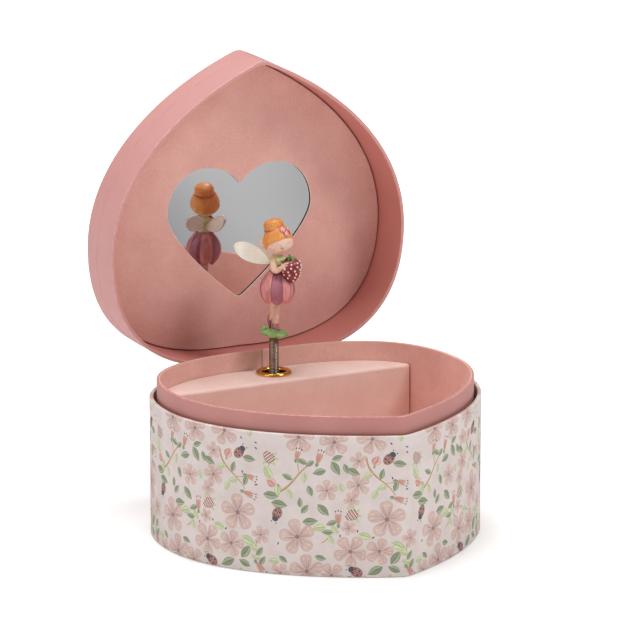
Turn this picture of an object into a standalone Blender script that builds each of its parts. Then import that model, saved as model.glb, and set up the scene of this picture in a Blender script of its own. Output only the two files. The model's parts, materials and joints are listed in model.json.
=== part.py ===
"""Ballerina jewellery box: a heart-shaped paperboard box with a folding dancer and a musical movement.

Units are metres and +Z is up. The origin is at the centre of the box's outline, on its underside. The
heart's point faces -Y and the lid is hinged at +Y. The lid is modelled shut and then swung open.
"""
import math

import bmesh
import bpy
from mathutils import Matrix, Vector

MM = 0.001

# Driving dimensions: the box
GAP = 0.3 * MM
WIDTH = 165.0 * MM
DEPTH = 156.6 * MM
WIDEST_Y = 16.0 * MM
WALL_TOP = 69.6 * MM
WALL_THICKNESS = 2.0 * MM
BOARD_THICKNESS = 2.0 * MM
NECK_INSET = 3.6 * MM
NECK_THICKNESS = 1.6 * MM
NECK_TOP = 78.3 * MM
DECK_TOP = 68.3 * MM
DECK_EDGE_Y = 46.6 * MM
LID_TOP = 99.2 * MM
LINING_DEPTH = 24.2 * MM
LINING_THICKNESS = 1.5 * MM
OPEN_ANGLE = math.radians(87.6)
CLOTH_THICKNESS = 0.5 * MM
CLOTH_HALF_WIDTH = 21.0 * MM

# Driving dimensions: the dancer's shaft and its spring
SHAFT_Y = 62.0 * MM
GROMMET_RADIUS = 9.0 * MM
GROMMET_BORE = 6.0 * MM
SPRING_RADIUS = 2.15 * MM
SPRING_WIRE = 0.4 * MM
SPRING_PITCH = 1.25 * MM
LEAF_HEIGHT = 18.6 * MM
FOLD_HEIGHT = 12.0 * MM
FIGURE_TURN = math.radians(18.0)

# Driving dimensions: the movement
WHEEL_Z = 46.0 * MM
MODULE = 0.6 * MM
WHEEL_TEETH = 40
PINION_TEETH = 8
DRUM_GEAR_TEETH = 24
DRUM_RADIUS = 5.5 * MM
DRUM_LOW = 9.6 * MM
DRUM_HIGH = 27.8 * MM
PIN_HEIGHT = 0.6 * MM
COMB_TEETH = 18
BEDPLATE_BACK = 72.2 * MM
BEDPLATE_THICKNESS = 1.5 * MM

# Sizes that follow from them
BACK_Y = DEPTH / 2
HINGE = Vector((0, BACK_Y + GAP + 0.1 * MM, WALL_TOP + GAP / 2))
LID_LOW = WALL_TOP + GAP
NECK_INNER = NECK_INSET + NECK_THICKNESS
FLOOR_LOW = BOARD_THICKNESS + GAP
FLOOR_TOP = FLOOR_LOW + BOARD_THICKNESS
DECK_LOW = DECK_TOP - BOARD_THICKNESS
WHEEL_RADIUS = MODULE * WHEEL_TEETH / 2
PINION_RADIUS = MODULE * PINION_TEETH / 2
MESH_Y = SHAFT_Y + PINION_RADIUS
GOVERNOR_X = -MODULE * (DRUM_GEAR_TEETH + PINION_TEETH) / 2
BEDPLATE_FRONT = BEDPLATE_BACK - BEDPLATE_THICKNESS
PIVOT = Vector((0, SHAFT_Y, DECK_TOP + FOLD_HEIGHT))
SCREW_PLACES = ((-16.5 * MM, 40.0 * MM), (16.5 * MM, 40.0 * MM), (0.0, 19.0 * MM))
COMB_SCREW_HEIGHTS = (14.2 * MM, 23.4 * MM)
COMB_SCREW_X = 18.8 * MM

CURVE_STEPS = 15
TURN_ABOUT_Y = (math.radians(90), 0, 0)


# Scene, collections and materials

def clear_scene():
    for thing in list(bpy.data.objects):
        bpy.data.objects.remove(thing, do_unlink=True)


def new_collection(name):
    collection = bpy.data.collections.new(name)
    bpy.context.scene.collection.children.link(collection)
    return collection


def finish(name, colour, roughness, metallic=0.0):
    material = bpy.data.materials.new(name)
    material.use_nodes = True
    shader = material.node_tree.nodes["Principled BSDF"]
    shader.inputs["Base Color"].default_value = (*colour, 1.0)
    shader.inputs["Roughness"].default_value = roughness
    shader.inputs["Metallic"].default_value = metallic
    material.diffuse_color = (*colour, 1.0)
    return material


# Making and joining solids

def add_part(name, mesh, material, location=(0, 0, 0), rotation=(0, 0, 0)):
    part = bpy.data.objects.new(name, mesh)
    part.location = location
    part.rotation_euler = rotation
    part.data.materials.clear()
    part.data.materials.append(material)
    PARTS.objects.link(part)
    return part


def mesh_from(guide):
    """The evaluated mesh of an object, with loose caps welded; the object itself is removed."""
    bpy.context.view_layer.update()
    evaluated = guide.evaluated_get(bpy.context.evaluated_depsgraph_get())
    mesh = bpy.data.meshes.new_from_object(evaluated)
    welded = bmesh.new()
    welded.from_mesh(mesh)
    bmesh.ops.remove_doubles(welded, verts=welded.verts, dist=0.001 * MM)
    welded.to_mesh(mesh)
    welded.free()
    bpy.data.objects.remove(guide, do_unlink=True)
    return mesh


def plate_mesh(loops, low, high):
    """A flat plate from low to high whose edge and holes follow closed loops of (x, y) points."""
    curve = bpy.data.curves.new("outline", "CURVE")
    curve.dimensions = "2D"
    curve.fill_mode = "BOTH"
    curve.extrude = (high - low) / 2
    for loop in loops:
        spline = curve.splines.new("POLY")
        spline.points.add(len(loop) - 1)
        for point, (x, y) in zip(spline.points, loop):
            point.co = (x, y, 0, 1)
        spline.use_cyclic_u = True
    guide = bpy.data.objects.new("outline", curve)
    CUTTERS.objects.link(guide)
    mesh = mesh_from(guide)
    mesh.transform(Matrix.Translation((0, 0, (low + high) / 2)))
    return mesh


def plate(name, loops, low, high, material, location=(0, 0, 0), rotation=(0, 0, 0)):
    return add_part(name, plate_mesh(loops, low, high), material, location, rotation)


def turned(name, profile, material, steps=24, location=(0, 0, 0), rotation=(0, 0, 0), closed=False):
    """A solid of revolution about Z; profile points (radius, z) run down the outer side."""
    mesh = bpy.data.meshes.new(name)
    edges = [(i, i + 1) for i in range(len(profile) - 1)]
    if closed:
        edges.append((len(profile) - 1, 0))
    mesh.from_pydata([(radius, 0, z) for radius, z in profile], edges, [])
    part = add_part(name, mesh, material, location, rotation)
    screw = part.modifiers.new("Turn", "SCREW")
    screw.steps = steps
    screw.render_steps = steps
    screw.use_merge_vertices = True
    screw.merge_threshold = 0.01 * MM
    return part


def rod(name, radius, low, high, material, steps=16, location=(0, 0, 0), rotation=(0, 0, 0)):
    profile = ((0, high), (radius, high), (radius, low), (0, low))
    return turned(name, profile, material, steps, location, rotation)


def tube(name, outer, inner, low, high, material, steps=24, location=(0, 0, 0), rotation=(0, 0, 0)):
    profile = ((inner, high), (outer, high), (outer, low), (inner, low))
    return turned(name, profile, material, steps, location, rotation, closed=True)


def block(name, low, high, material):
    """A box between two corners."""
    low = Vector(low)
    high = Vector(high)
    cube = bmesh.new()
    bmesh.ops.create_cube(cube, size=1.0)
    bmesh.ops.scale(cube, vec=high - low, verts=cube.verts)
    mesh = bpy.data.meshes.new(name)
    cube.to_mesh(mesh)
    cube.free()
    return add_part(name, mesh, material, (low + high) / 2)


def ball(name, radii, centre, material, segments=16, rings=10):
    sphere = bmesh.new()
    bmesh.ops.create_uvsphere(sphere, u_segments=segments, v_segments=rings, radius=1.0)
    bmesh.ops.scale(sphere, vec=radii, verts=sphere.verts)
    mesh = bpy.data.meshes.new(name)
    sphere.to_mesh(mesh)
    sphere.free()
    return add_part(name, mesh, material, centre)


def limb(name, points, radius, material):
    """A round bent limb along a smooth curve through the points."""
    curve = bpy.data.curves.new(name, "CURVE")
    curve.dimensions = "3D"
    curve.bevel_depth = radius
    curve.bevel_resolution = 2
    curve.resolution_u = 4
    curve.use_fill_caps = True
    spline = curve.splines.new("BEZIER")
    spline.bezier_points.add(len(points) - 1)
    for point, place in zip(spline.bezier_points, points):
        point.co = place
        point.handle_left_type = "AUTO"
        point.handle_right_type = "AUTO"
    guide = bpy.data.objects.new(name, curve)
    CUTTERS.objects.link(guide)
    return add_part(name, mesh_from(guide), material)


def combine(part, tool, operation):
    """Adds or cuts a tool with an exact Boolean; the tool stays as a hidden guide."""
    PARTS.objects.unlink(tool)
    CUTTERS.objects.link(tool)
    tool.hide_render = True
    tool.display_type = "WIRE"
    boolean = part.modifiers.new(tool.name, "BOOLEAN")
    boolean.operation = operation
    boolean.solver = "EXACT"
    boolean.object = tool


def join(part, tool):
    combine(part, tool, "UNION")


def cut(part, tool):
    combine(part, tool, "DIFFERENCE")


def bore(part, radius, low, high, location, rotation=(0, 0, 0)):
    cut(part, rod(part.name + "_bore", radius, low, high, STEEL, 18, location, rotation))


def new_axis(name, place, parent=None):
    axis = bpy.data.objects.new(name, None)
    axis.empty_display_size = 0.01
    axis.location = place
    axis.parent = parent
    PARTS.objects.link(axis)
    return axis


def hang(parts, axis, origin):
    """Parents parts, and the tools that shape them, to an axis at the given origin."""
    for part in parts:
        tools = [modifier.object for modifier in part.modifiers if modifier.type == "BOOLEAN"]
        for thing in (part, *tools):
            thing.location = thing.location - Vector(origin)
            thing.parent = axis


# Outlines

def bezier(curve, t):
    """The point and the unit direction at t along a cubic Bezier curve."""
    a, b, c, d = (Vector(point) for point in curve)
    point = a * (1 - t) ** 3 + b * 3 * t * (1 - t) ** 2 + c * 3 * t * t * (1 - t) + d * t ** 3
    slope = (b - a) * (1 - t) ** 2 + (c - b) * 2 * t * (1 - t) + (d - c) * t * t
    return point, slope.normalized()


def box_half(inset):
    """Right half of the box's outline moved inward, from the middle of the back to the front point."""
    side = WIDTH / 2
    back_curve = ((0, BACK_Y), (13.5 * MM, BACK_Y), (side, 85.2 * MM), (side, WIDEST_Y))
    front_curve = ((side, WIDEST_Y), (side, -30.2 * MM), (40.3 * MM, 15.8 * MM - BACK_Y), (0, -BACK_Y))
    points = []
    for curve in (back_curve, front_curve):
        for step in range(CURVE_STEPS):
            place, along = bezier(curve, step / CURVE_STEPS)
            points.append(place + inset * Vector((along.y, -along.x)))
    place, along = bezier(front_curve, 1.0)
    points.append(place + inset * Vector((along.y, -along.x)))
    return rounded_point(points)


def rounded_point(points):
    """Replaces the last stretch towards the front point by a parabola that is level at x = 0."""
    reach = 3.0 * MM
    kept = [point for point in points if point.y > 0 or point.x > reach]
    following = points[len(kept)]
    last = kept[-1]
    slope = (last.y - following.y) / (last.x - following.x)
    start = last.y + slope * (reach - last.x)
    kept.extend(
        Vector((reach * share, start - slope * reach / 2 * (1 - share ** 2))) for share in (1.0, 0.5, 0.0)
    )
    return kept


def mirrored(half):
    """A closed loop from the right half of a shape that starts and ends on x = 0."""
    return [(p.x, p.y) for p in half] + [(-p.x, p.y) for p in reversed(half[1:-1])]


def box_loop(inset=0.0):
    return mirrored(box_half(inset))


def behind(loop, edge):
    """The part of a closed loop with y above an edge."""
    kept = []
    for (x0, y0), (x1, y1) in zip(loop, loop[1:] + loop[:1]):
        if y0 >= edge:
            kept.append((x0, y0))
        if (y0 >= edge) != (y1 >= edge):
            share = (edge - y0) / (y1 - y0)
            kept.append((x0 + share * (x1 - x0), edge))
    return kept


def half_width_at(y, inset):
    return max(x for x, at in behind(box_loop(inset), y) if at < y + 0.01 * MM)


def window_loop(steps=10):
    """The heart window in the lid's lining; its point is towards the hinge."""
    lobe = ((0, -10.9), (5.0, -16.8), (11.5, -20.2), (19.5, -20.2))
    side = ((19.5, -20.2), (31.0, -20.2), (40.0, -10.5), (40.0, 2.0))
    flank = ((40.0, 2.0), (40.0, 15.0), (12.5, 39.5), (0, 48.6))
    half = [bezier(curve, step / steps)[0] * MM for curve in (lobe, side, flank) for step in range(steps)]
    half.append(Vector((0, 48.6)) * MM)
    return mirrored(half)


def circle(radius, steps=24):
    return [
        (radius * math.cos(math.tau * i / steps), radius * math.sin(math.tau * i / steps)) for i in range(steps)
    ]


def gear_loop(teeth, turn=0.0):
    """A spur gear's outline, with one tooth at the angle given by turn."""
    pitch = math.tau / teeth
    radius = MODULE * teeth / 2
    root = radius - 1.15 * MODULE
    tip = radius + 0.85 * MODULE
    root_half = 0.24 * pitch
    tip_half = 0.11 * MODULE * math.pi / tip
    loop = []
    for tooth in range(teeth):
        middle = turn + tooth * pitch
        for distance, offset in ((root, -root_half), (tip, -tip_half), (tip, tip_half), (root, root_half)):
            angle = middle + offset
            loop.append((distance * math.cos(angle), distance * math.sin(angle)))
    return loop


def wheel_teeth():
    """All the crown wheel's teeth, each a small wedge that stands on the wheel's rim."""
    pitch = math.tau / WHEEL_TEETH
    foot = 1.35 * MODULE
    tip = -0.85 * MODULE
    teeth = bmesh.new()
    for tooth in range(WHEEL_TEETH):
        wedge = bmesh.ops.create_cube(teeth, size=1.0)["verts"]
        for corner in wedge:
            half = (0.32 if corner.co.y > 0 else 0.19) * MM * 2
            corner.co.x *= half
            corner.co.y = foot if corner.co.y > 0 else tip
            corner.co.z = WHEEL_RADIUS + corner.co.z * 2.4 * MM
        turn = Matrix.Rotation((tooth + 0.5) * pitch, 4, "Y")
        bmesh.ops.transform(teeth, matrix=turn, verts=wedge)
    mesh = bpy.data.meshes.new("wheel_teeth")
    teeth.to_mesh(mesh)
    teeth.free()
    return mesh


# The box

def make_box():
    wall = plate("outer_wall", [box_loop(), box_loop(WALL_THICKNESS)], 0, WALL_TOP, PRINTED_PAPER)
    plate("base_board", [box_loop(WALL_THICKNESS + GAP)], 0, BOARD_THICKNESS, GREY_BOARD)
    neck = plate("neck_liner", [box_loop(NECK_INSET), box_loop(NECK_INNER)], FLOOR_LOW, NECK_TOP, PINK_PAPER)
    plate("storage_floor", [box_loop(NECK_INNER + GAP)], FLOOR_LOW, FLOOR_TOP, SUEDE)
    for board in (wall, neck):
        bore(board, 3.0 * MM, -0.1, 0, (0, 0, WHEEL_Z), TURN_ABOUT_Y)
        for x, z in SCREW_PLACES:
            bore(board, 1.5 * MM, -0.1, 0, (x, 0, z), TURN_ABOUT_Y)
    make_deck()
    low = (-CLOTH_HALF_WIDTH, BACK_Y + GAP, 54.0 * MM)
    high = (CLOTH_HALF_WIDTH, BACK_Y + GAP + CLOTH_THICKNESS, WALL_TOP - 0.8 * MM)
    block("hinge_cloth_base", low, high, PINK_CLOTH)


def make_deck():
    """A folded card: the shelf over the movement and the panel that hangs from its front edge."""
    inset = NECK_INNER + GAP
    deck = plate("mechanism_deck", [behind(box_loop(inset), DECK_EDGE_Y)], DECK_LOW, DECK_TOP, SUEDE)
    panel_back = DECK_EDGE_Y + BOARD_THICKNESS
    half = half_width_at(panel_back, inset) - GAP
    low = (-half, DECK_EDGE_Y, FLOOR_TOP + GAP)
    join(deck, block("front_panel", low, (half, panel_back, DECK_TOP - 1.0 * MM), SUEDE))
    barrel = GROMMET_BORE + 1.0 * MM
    bore(deck, barrel + GAP, DECK_LOW - 0.01, DECK_TOP + 0.01, (0, SHAFT_Y, 0))
    flange = DECK_TOP + GAP
    profile = (
        (GROMMET_BORE, flange + 0.7 * MM),
        (GROMMET_BORE + 0.9 * MM, flange + 1.5 * MM),
        (GROMMET_RADIUS - 1.0 * MM, flange + 1.3 * MM),
        (GROMMET_RADIUS, flange),
        (barrel, flange),
        (barrel, DECK_LOW - 1.6 * MM),
        (GROMMET_BORE, DECK_LOW - 1.6 * MM),
    )
    turned("grommet", profile, GOLD, 32, (0, SHAFT_Y, 0), closed=True)
    washer_top = DECK_LOW - GAP
    tube("grommet_washer", GROMMET_RADIUS, barrel + GAP, washer_top - 0.8 * MM, washer_top, GOLD, 24,
         (0, SHAFT_Y, 0))


# The lid

def make_lid():
    board_low = LID_TOP - 1.9 * MM
    lining_low = LID_LOW + LINING_DEPTH
    mirror_low = lining_low + LINING_THICKNESS + GAP
    wall = plate("lid_wall", [box_loop(), box_loop(WALL_THICKNESS)], LID_LOW, board_low - GAP, PINK_PAPER)
    board = plate("lid_top_board", [box_loop()], board_low, LID_TOP, PINK_PAPER)
    lining_loops = [box_loop(WALL_THICKNESS + 0.5 * MM), window_loop()]
    lining = plate("lining_panel", lining_loops, lining_low, lining_low + LINING_THICKNESS, SUEDE)
    low = (-44.0 * MM, -25.0 * MM, mirror_low)
    mirror = block("mirror", low, (44.0 * MM, 53.0 * MM, board_low - GAP), MIRROR)
    low = (-CLOTH_HALF_WIDTH, BACK_Y + GAP, LID_LOW + 0.8 * MM)
    high = (CLOTH_HALF_WIDTH, BACK_Y + GAP + CLOTH_THICKNESS, 86.0 * MM)
    cloth = block("hinge_cloth_lid", low, high, PINK_CLOTH)
    axis = new_axis("lid_hinge_axis", HINGE)
    hang((wall, board, lining, mirror, cloth), axis, HINGE)
    axis.rotation_euler.x = -OPEN_ANGLE


# The musical movement

def make_bedplate():
    """The cast frame: a back plate with bearing arms and the comb's riser."""
    low = (-20.0 * MM, BEDPLATE_FRONT, 5.6 * MM)
    bedplate = block("bedplate", low, (22.4 * MM, BEDPLATE_BACK, 63.0 * MM), ZINC)
    inside = BEDPLATE_FRONT + 0.5 * MM
    arm_front = SHAFT_Y - 3.0 * MM
    join(bedplate, block("spindle_arm", (-2.8 * MM, arm_front, 60.6 * MM), (2.8 * MM, inside, 62.1 * MM), ZINC))
    for name, z in (("upper_arm", 30.4 * MM), ("lower_arm", 7.0 * MM)):
        low = (GOVERNOR_X - 2.6 * MM, arm_front, z)
        join(bedplate, block(name, low, (3.2 * MM, inside, z + 1.5 * MM), ZINC))
        bore(bedplate, 1.2 * MM, z - 0.001, z + 0.003, (0, SHAFT_Y, 0))
        bore(bedplate, 0.8 * MM, z - 0.001, z + 0.003, (GOVERNOR_X, SHAFT_Y, 0))
    riser_low = (15.5 * MM, SHAFT_Y + 0.6 * MM, DRUM_LOW - 0.4 * MM)
    join(bedplate, block("comb_riser", riser_low, (22.2 * MM, inside, DRUM_HIGH + 0.4 * MM), ZINC))
    bore(bedplate, 1.3 * MM, 0.058, 0.065, (0, SHAFT_Y, 0))
    bore(bedplate, 1.9 * MM, -0.08, -0.065, (0, 0, WHEEL_Z), TURN_ABOUT_Y)
    for x, z in SCREW_PLACES:
        bore(bedplate, 1.4 * MM, -0.08, -0.065, (x, 0, z), TURN_ABOUT_Y)
    for z in COMB_SCREW_HEIGHTS:
        bore(bedplate, 1.2 * MM, -0.0678, -0.06, (COMB_SCREW_X, 0, z), TURN_ABOUT_Y)


def make_screws():
    """Screws from outside through the back wall into the bedplate, and the comb's two screws."""
    head = BACK_Y + GAP
    profile = (
        (0, -BEDPLATE_FRONT + 0.7 * MM),
        (1.1 * MM, -BEDPLATE_FRONT + 0.7 * MM),
        (1.1 * MM, -head),
        (2.4 * MM, -head),
        (2.1 * MM, -head - 1.2 * MM),
        (0, -head - 1.3 * MM),
    )
    for number, (x, z) in enumerate(SCREW_PLACES, 1):
        turned(f"mounting_screw_{number}", profile, STEEL, 16, (x, 0, z), TURN_ABOUT_Y)
    seat = SHAFT_Y - 0.6 * MM
    profile = (
        (0, -seat + 0.9 * MM),
        (1.7 * MM, -seat + 0.9 * MM),
        (1.7 * MM, -seat),
        (0.9 * MM, -seat),
        (0.9 * MM, -0.0672),
        (0, -0.0672),
    )
    for number, z in enumerate(COMB_SCREW_HEIGHTS, 1):
        turned(f"comb_screw_{number}", profile, STEEL, 16, (COMB_SCREW_X, 0, z), TURN_ABOUT_Y)


def make_comb():
    """A flat steel comb whose teeth point at the drum."""
    tip = DRUM_RADIUS + PIN_HEIGHT + 0.25 * MM
    foot = 14.5 * MM
    heel = 22.0 * MM
    slot = 0.35 * MM
    pitch = (DRUM_HIGH - DRUM_LOW - 0.4 * MM) / COMB_TEETH
    start = DRUM_LOW + 0.2 * MM
    loop = [(heel, start)]
    for tooth in range(COMB_TEETH):
        low = start + tooth * pitch
        high = low + pitch - slot
        loop += [(tip, low), (tip, high)]
        if tooth < COMB_TEETH - 1:
            loop += [(foot, high), (foot, high + slot)]
    loop.append((heel, start + COMB_TEETH * pitch - slot))
    comb = plate("comb", [loop], -SHAFT_Y - 0.3 * MM, -SHAFT_Y + 0.3 * MM, STEEL, rotation=TURN_ABOUT_Y)
    for z in COMB_SCREW_HEIGHTS:
        bore(comb, 1.2 * MM, -0.065, -0.06, (COMB_SCREW_X, 0, z), TURN_ABOUT_Y)


def make_spring_housing():
    """The fixed cup on the bedplate and the spiral mainspring inside it."""
    back = BEDPLATE_FRONT - GAP
    front = MESH_Y + 2.0 * MM
    wall = 0.8 * MM
    outer = 13.0 * MM
    profile = (
        (outer, -front),
        (outer, -back),
        (1.9 * MM, -back),
        (1.9 * MM, -back + wall),
        (outer - wall, -back + wall),
        (outer - wall, -front),
    )
    turned("spring_housing", profile, BRASS, 32, (0, 0, WHEEL_Z), TURN_ABOUT_Y, closed=True)
    coils = 4
    steps = 14 * coils
    thickness = 0.4 * MM
    path = [
        (math.tau * coils * i / steps, (3.4 + 7.8 * i / steps) * MM) for i in range(steps + 1)
    ]
    inner = [(radius * math.cos(angle), radius * math.sin(angle)) for angle, radius in path]
    outer_side = [
        ((radius + thickness) * math.cos(angle), (radius + thickness) * math.sin(angle)) for angle, radius in path
    ]
    low = -back + wall + GAP
    plate("mainspring", [inner + outer_side[::-1]], low, -front - GAP, STEEL, (0, 0, WHEEL_Z), TURN_ABOUT_Y)


def make_drive():
    """The winding key, its arbor and the crown wheel, which turn together."""
    arbor_front = MESH_Y - 0.4 * MM
    arbor_back = 84.5 * MM
    place = (0, 0, WHEEL_Z)
    rod("winding_arbor", 1.5 * MM, -arbor_back, -arbor_front, STEEL, 16, place, TURN_ABOUT_Y)
    disc_front = MESH_Y + 0.7 * MM
    disc_back = disc_front + 1.0 * MM
    rim = WHEEL_RADIUS + 1.4 * MM
    wheel = tube("crown_wheel", rim, 1.8 * MM, -disc_back, -disc_front, BRASS, 40, place, TURN_ABOUT_Y)
    join(wheel, add_part("wheel_teeth", wheel_teeth(), BRASS, (0, MESH_Y, WHEEL_Z)))
    make_key(place)
    barrel = 2.7 * MM
    flange = BACK_Y + GAP
    profile = (
        (1.9 * MM, -BACK_Y + WALL_THICKNESS),
        (barrel, -BACK_Y + WALL_THICKNESS),
        (barrel, -flange),
        (5.0 * MM, -flange),
        (4.4 * MM, -flange - 0.9 * MM),
        (1.9 * MM, -flange - 0.9 * MM),
    )
    turned("key_escutcheon", profile, GOLD, 24, place, TURN_ABOUT_Y, closed=True)


def make_key(place):
    """A flat two-lobed handle on a round stem that takes the end of the arbor."""
    stem_low = 80.2 * MM
    handle_middle = 93.0 * MM
    profile = (
        (0, -85.0 * MM),
        (1.8 * MM, -85.0 * MM),
        (1.8 * MM, -stem_low),
        (2.9 * MM, -stem_low),
        (2.9 * MM, -90.5 * MM),
        (0, -90.5 * MM),
    )
    key = turned("winding_key", profile, STEEL, 20, place, TURN_ABOUT_Y)
    loop = []
    for step in range(32):
        angle = math.tau * step / 32
        waist = 0.62 + 0.38 * abs(math.cos(angle)) ** 1.5
        loop.append((13.0 * MM * math.cos(angle), handle_middle + 6.2 * MM * waist * math.sin(angle)))
    handle = plate("key_handle", [loop], WHEEL_Z - 1.1 * MM, WHEEL_Z + 1.1 * MM, STEEL)
    join(key, handle)


def make_drum():
    """The pinned drum on its upright arbor, with the pinion and gear at its top."""
    place = (0, SHAFT_Y, 0)
    rod("drum_arbor", 0.9 * MM, 6.2 * MM, 35.6 * MM, STEEL, 12, place)
    drum = tube("drum", DRUM_RADIUS, 1.2 * MM, DRUM_LOW, DRUM_HIGH, BRASS, 28, place)
    pins = bmesh.new()
    pin_count = 36
    for number in range(pin_count):
        row = (number * 7) % COMB_TEETH
        turn = math.tau * (number * 0.381966)
        z = DRUM_LOW + 0.55 * MM + row * (DRUM_HIGH - DRUM_LOW - 0.4 * MM) / COMB_TEETH
        pin = bmesh.ops.create_cube(pins, size=1.0)["verts"]
        bmesh.ops.scale(pins, vec=(2 * PIN_HEIGHT, 0.4 * MM, 0.4 * MM), verts=pin)
        bmesh.ops.translate(pins, vec=(DRUM_RADIUS, 0, z), verts=pin)
        bmesh.ops.rotate(pins, cent=(0, 0, 0), matrix=Matrix.Rotation(turn, 3, "Z"), verts=pin)
    mesh = bpy.data.meshes.new("drum_pins")
    pins.to_mesh(mesh)
    pins.free()
    join(drum, add_part("drum_pins", mesh, BRASS, place))
    low = WHEEL_Z - WHEEL_RADIUS - 1.1 * MM
    tooth_to_wheel = math.radians(90)
    loops = [gear_loop(PINION_TEETH, tooth_to_wheel), circle(1.2 * MM, 12)]
    plate("drum_pinion", loops, low, low + 2.2 * MM, BRASS, place)
    loops = [gear_loop(DRUM_GEAR_TEETH), circle(1.2 * MM, 12)]
    plate("drum_gear", loops, DRUM_HIGH + 0.4 * MM, DRUM_HIGH + 2.2 * MM, BRASS, place)


def make_governor():
    """The air brake: a fast pinion and a two-bladed fan on one thin arbor."""
    place = (GOVERNOR_X, SHAFT_Y, 0)
    rod("governor_arbor", 0.5 * MM, 6.2 * MM, 32.6 * MM, STEEL, 12, place)
    half_pitch = math.pi / PINION_TEETH
    loops = [gear_loop(PINION_TEETH, half_pitch), circle(0.8 * MM, 12)]
    plate("governor_pinion", loops, DRUM_HIGH + 0.2 * MM, DRUM_HIGH + 2.3 * MM, BRASS, place)
    fan = tube("governor_fan", 1.3 * MM, 0.8 * MM, 12.0 * MM, 25.0 * MM, NYLON, 16, place)
    for side in (-1, 1):
        inner = 1.05 * MM * side
        outer = 2.8 * MM * side
        low = (GOVERNOR_X + min(inner, outer), SHAFT_Y - 0.25 * MM, 13.0 * MM)
        high = (GOVERNOR_X + max(inner, outer), SHAFT_Y + 0.25 * MM, 24.0 * MM)
        join(fan, block("fan_blade", low, high, NYLON))


def make_spindle():
    """The upright spindle that turns the dancer from the top of the crown wheel."""
    place = (0, SHAFT_Y, 0)
    profile = (
        (0, 67.0 * MM),
        (1.4 * MM, 67.0 * MM),
        (1.4 * MM, 62.4 * MM),
        (1.0 * MM, 62.4 * MM),
        (1.0 * MM, 56.0 * MM),
        (0, 56.0 * MM),
    )
    turned("dancer_spindle", profile, STEEL, 16, place)
    low = WHEEL_Z + WHEEL_RADIUS - 1.1 * MM
    loops = [gear_loop(PINION_TEETH, math.radians(90)), circle(1.3 * MM, 12)]
    plate("spindle_pinion", loops, low, low + 2.2 * MM, BRASS, place)


# The dancer

def make_spring():
    """A close coil of wire from the spindle up to the leaf base."""
    low = 63.4 * MM
    high = DECK_TOP + LEAF_HEIGHT - GAP - SPRING_WIRE
    turns = (high - low) / SPRING_PITCH
    steps_per_turn = 12
    count = int(turns * steps_per_turn)
    curve = bpy.data.curves.new("coil", "CURVE")
    curve.dimensions = "3D"
    curve.bevel_depth = SPRING_WIRE
    curve.bevel_resolution = 0
    curve.use_fill_caps = True
    spline = curve.splines.new("POLY")
    spline.points.add(count)
    for step, point in enumerate(spline.points):
        angle = math.tau * step / steps_per_turn
        z = low + (high - low) * step / count
        point.co = (SPRING_RADIUS * math.cos(angle), SPRING_RADIUS * math.sin(angle), z, 1)
    guide = bpy.data.objects.new("coil", curve)
    CUTTERS.objects.link(guide)
    spring = add_part("dancer_spring", mesh_from(guide), STEEL, (0, SHAFT_Y, 0))
    plug_top = DECK_TOP + LEAF_HEIGHT + 1.5 * MM
    plug = rod("spring_plug", 1.4 * MM, DECK_TOP + 13.2 * MM, plug_top, BRASS, 16, (0, SHAFT_Y, 0))
    return spring, plug


def make_leaf():
    """The curled leaf that the dancer stands on, with a socket below for the plug."""
    base = DECK_TOP + LEAF_HEIGHT
    profile = (
        (0, base + 4.0 * MM),
        (5.0 * MM, base + 3.7 * MM),
        (8.0 * MM, base + 5.2 * MM),
        (8.4 * MM, base + 4.2 * MM),
        (6.2 * MM, base + 0.8 * MM),
        (1.7 * MM, base),
        (1.7 * MM, base + 1.8 * MM),
        (0, base + 1.8 * MM),
    )
    return turned("leaf_base", profile, LEAF_GREEN, 20, (0, SHAFT_Y, 0))


def make_body():
    """Legs, shoes, tulip skirt, blouse, neck and the arms that hug the berry."""
    floor = DECK_TOP + LEAF_HEIGHT + 4.3 * MM
    hem = DECK_TOP + 37.4 * MM
    waist = DECK_TOP + 53.6 * MM
    skirt_y = SHAFT_Y - 2.4 * MM
    profile = (
        (0, waist + 6.0 * MM),
        (1.9 * MM, waist + 5.9 * MM),
        (2.2 * MM, waist + 4.9 * MM),
        (3.9 * MM, waist + 3.4 * MM),
        (3.5 * MM, waist),
        (6.4 * MM, waist - 2.2 * MM),
        (8.6 * MM, waist - 7.0 * MM),
        (8.8 * MM, waist - 9.5 * MM),
        (7.6 * MM, waist - 13.5 * MM),
        (5.6 * MM, hem),
        (0, hem + 0.6 * MM),
    )
    body = turned("dancer_body", profile, SKIRT_PINK, 20, (0, skirt_y, 0))
    for side in (-1, 1):
        ankle = (1.5 * side * MM, SHAFT_Y - 0.6 * MM, floor + 1.6 * MM)
        hip = (1.9 * side * MM, skirt_y, hem + 2.5 * MM)
        join(body, limb("leg", (ankle, hip), 1.5 * MM, SKIN))
        join(body, ball("shoe", (1.6 * MM, 2.6 * MM, 1.6 * MM), ankle, SHOE_PLUM, 12, 8))
        shoulder = (3.2 * side * MM, skirt_y, waist + 3.4 * MM)
        elbow = (6.2 * side * MM, skirt_y - 3.0 * MM, waist + 0.4 * MM)
        hand = (6.2 * side * MM, skirt_y - 8.6 * MM, waist + 1.8 * MM)
        join(body, limb("arm", (shoulder, elbow, hand), 1.3 * MM, SKIN))
    return body


def make_head():
    """The head with its cap of hair, and the bun on top."""
    centre = (0, SHAFT_Y - 4.6 * MM, DECK_TOP + 66.4 * MM)
    head = ball("dancer_head", (7.8 * MM, 7.8 * MM, 6.4 * MM), centre, HAIR)
    bun = ball("bun", (5.0 * MM, 5.0 * MM, 4.6 * MM), (0, SHAFT_Y - 2.0 * MM, DECK_TOP + 75.3 * MM), HAIR)
    join(head, bun)
    return head


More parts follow.
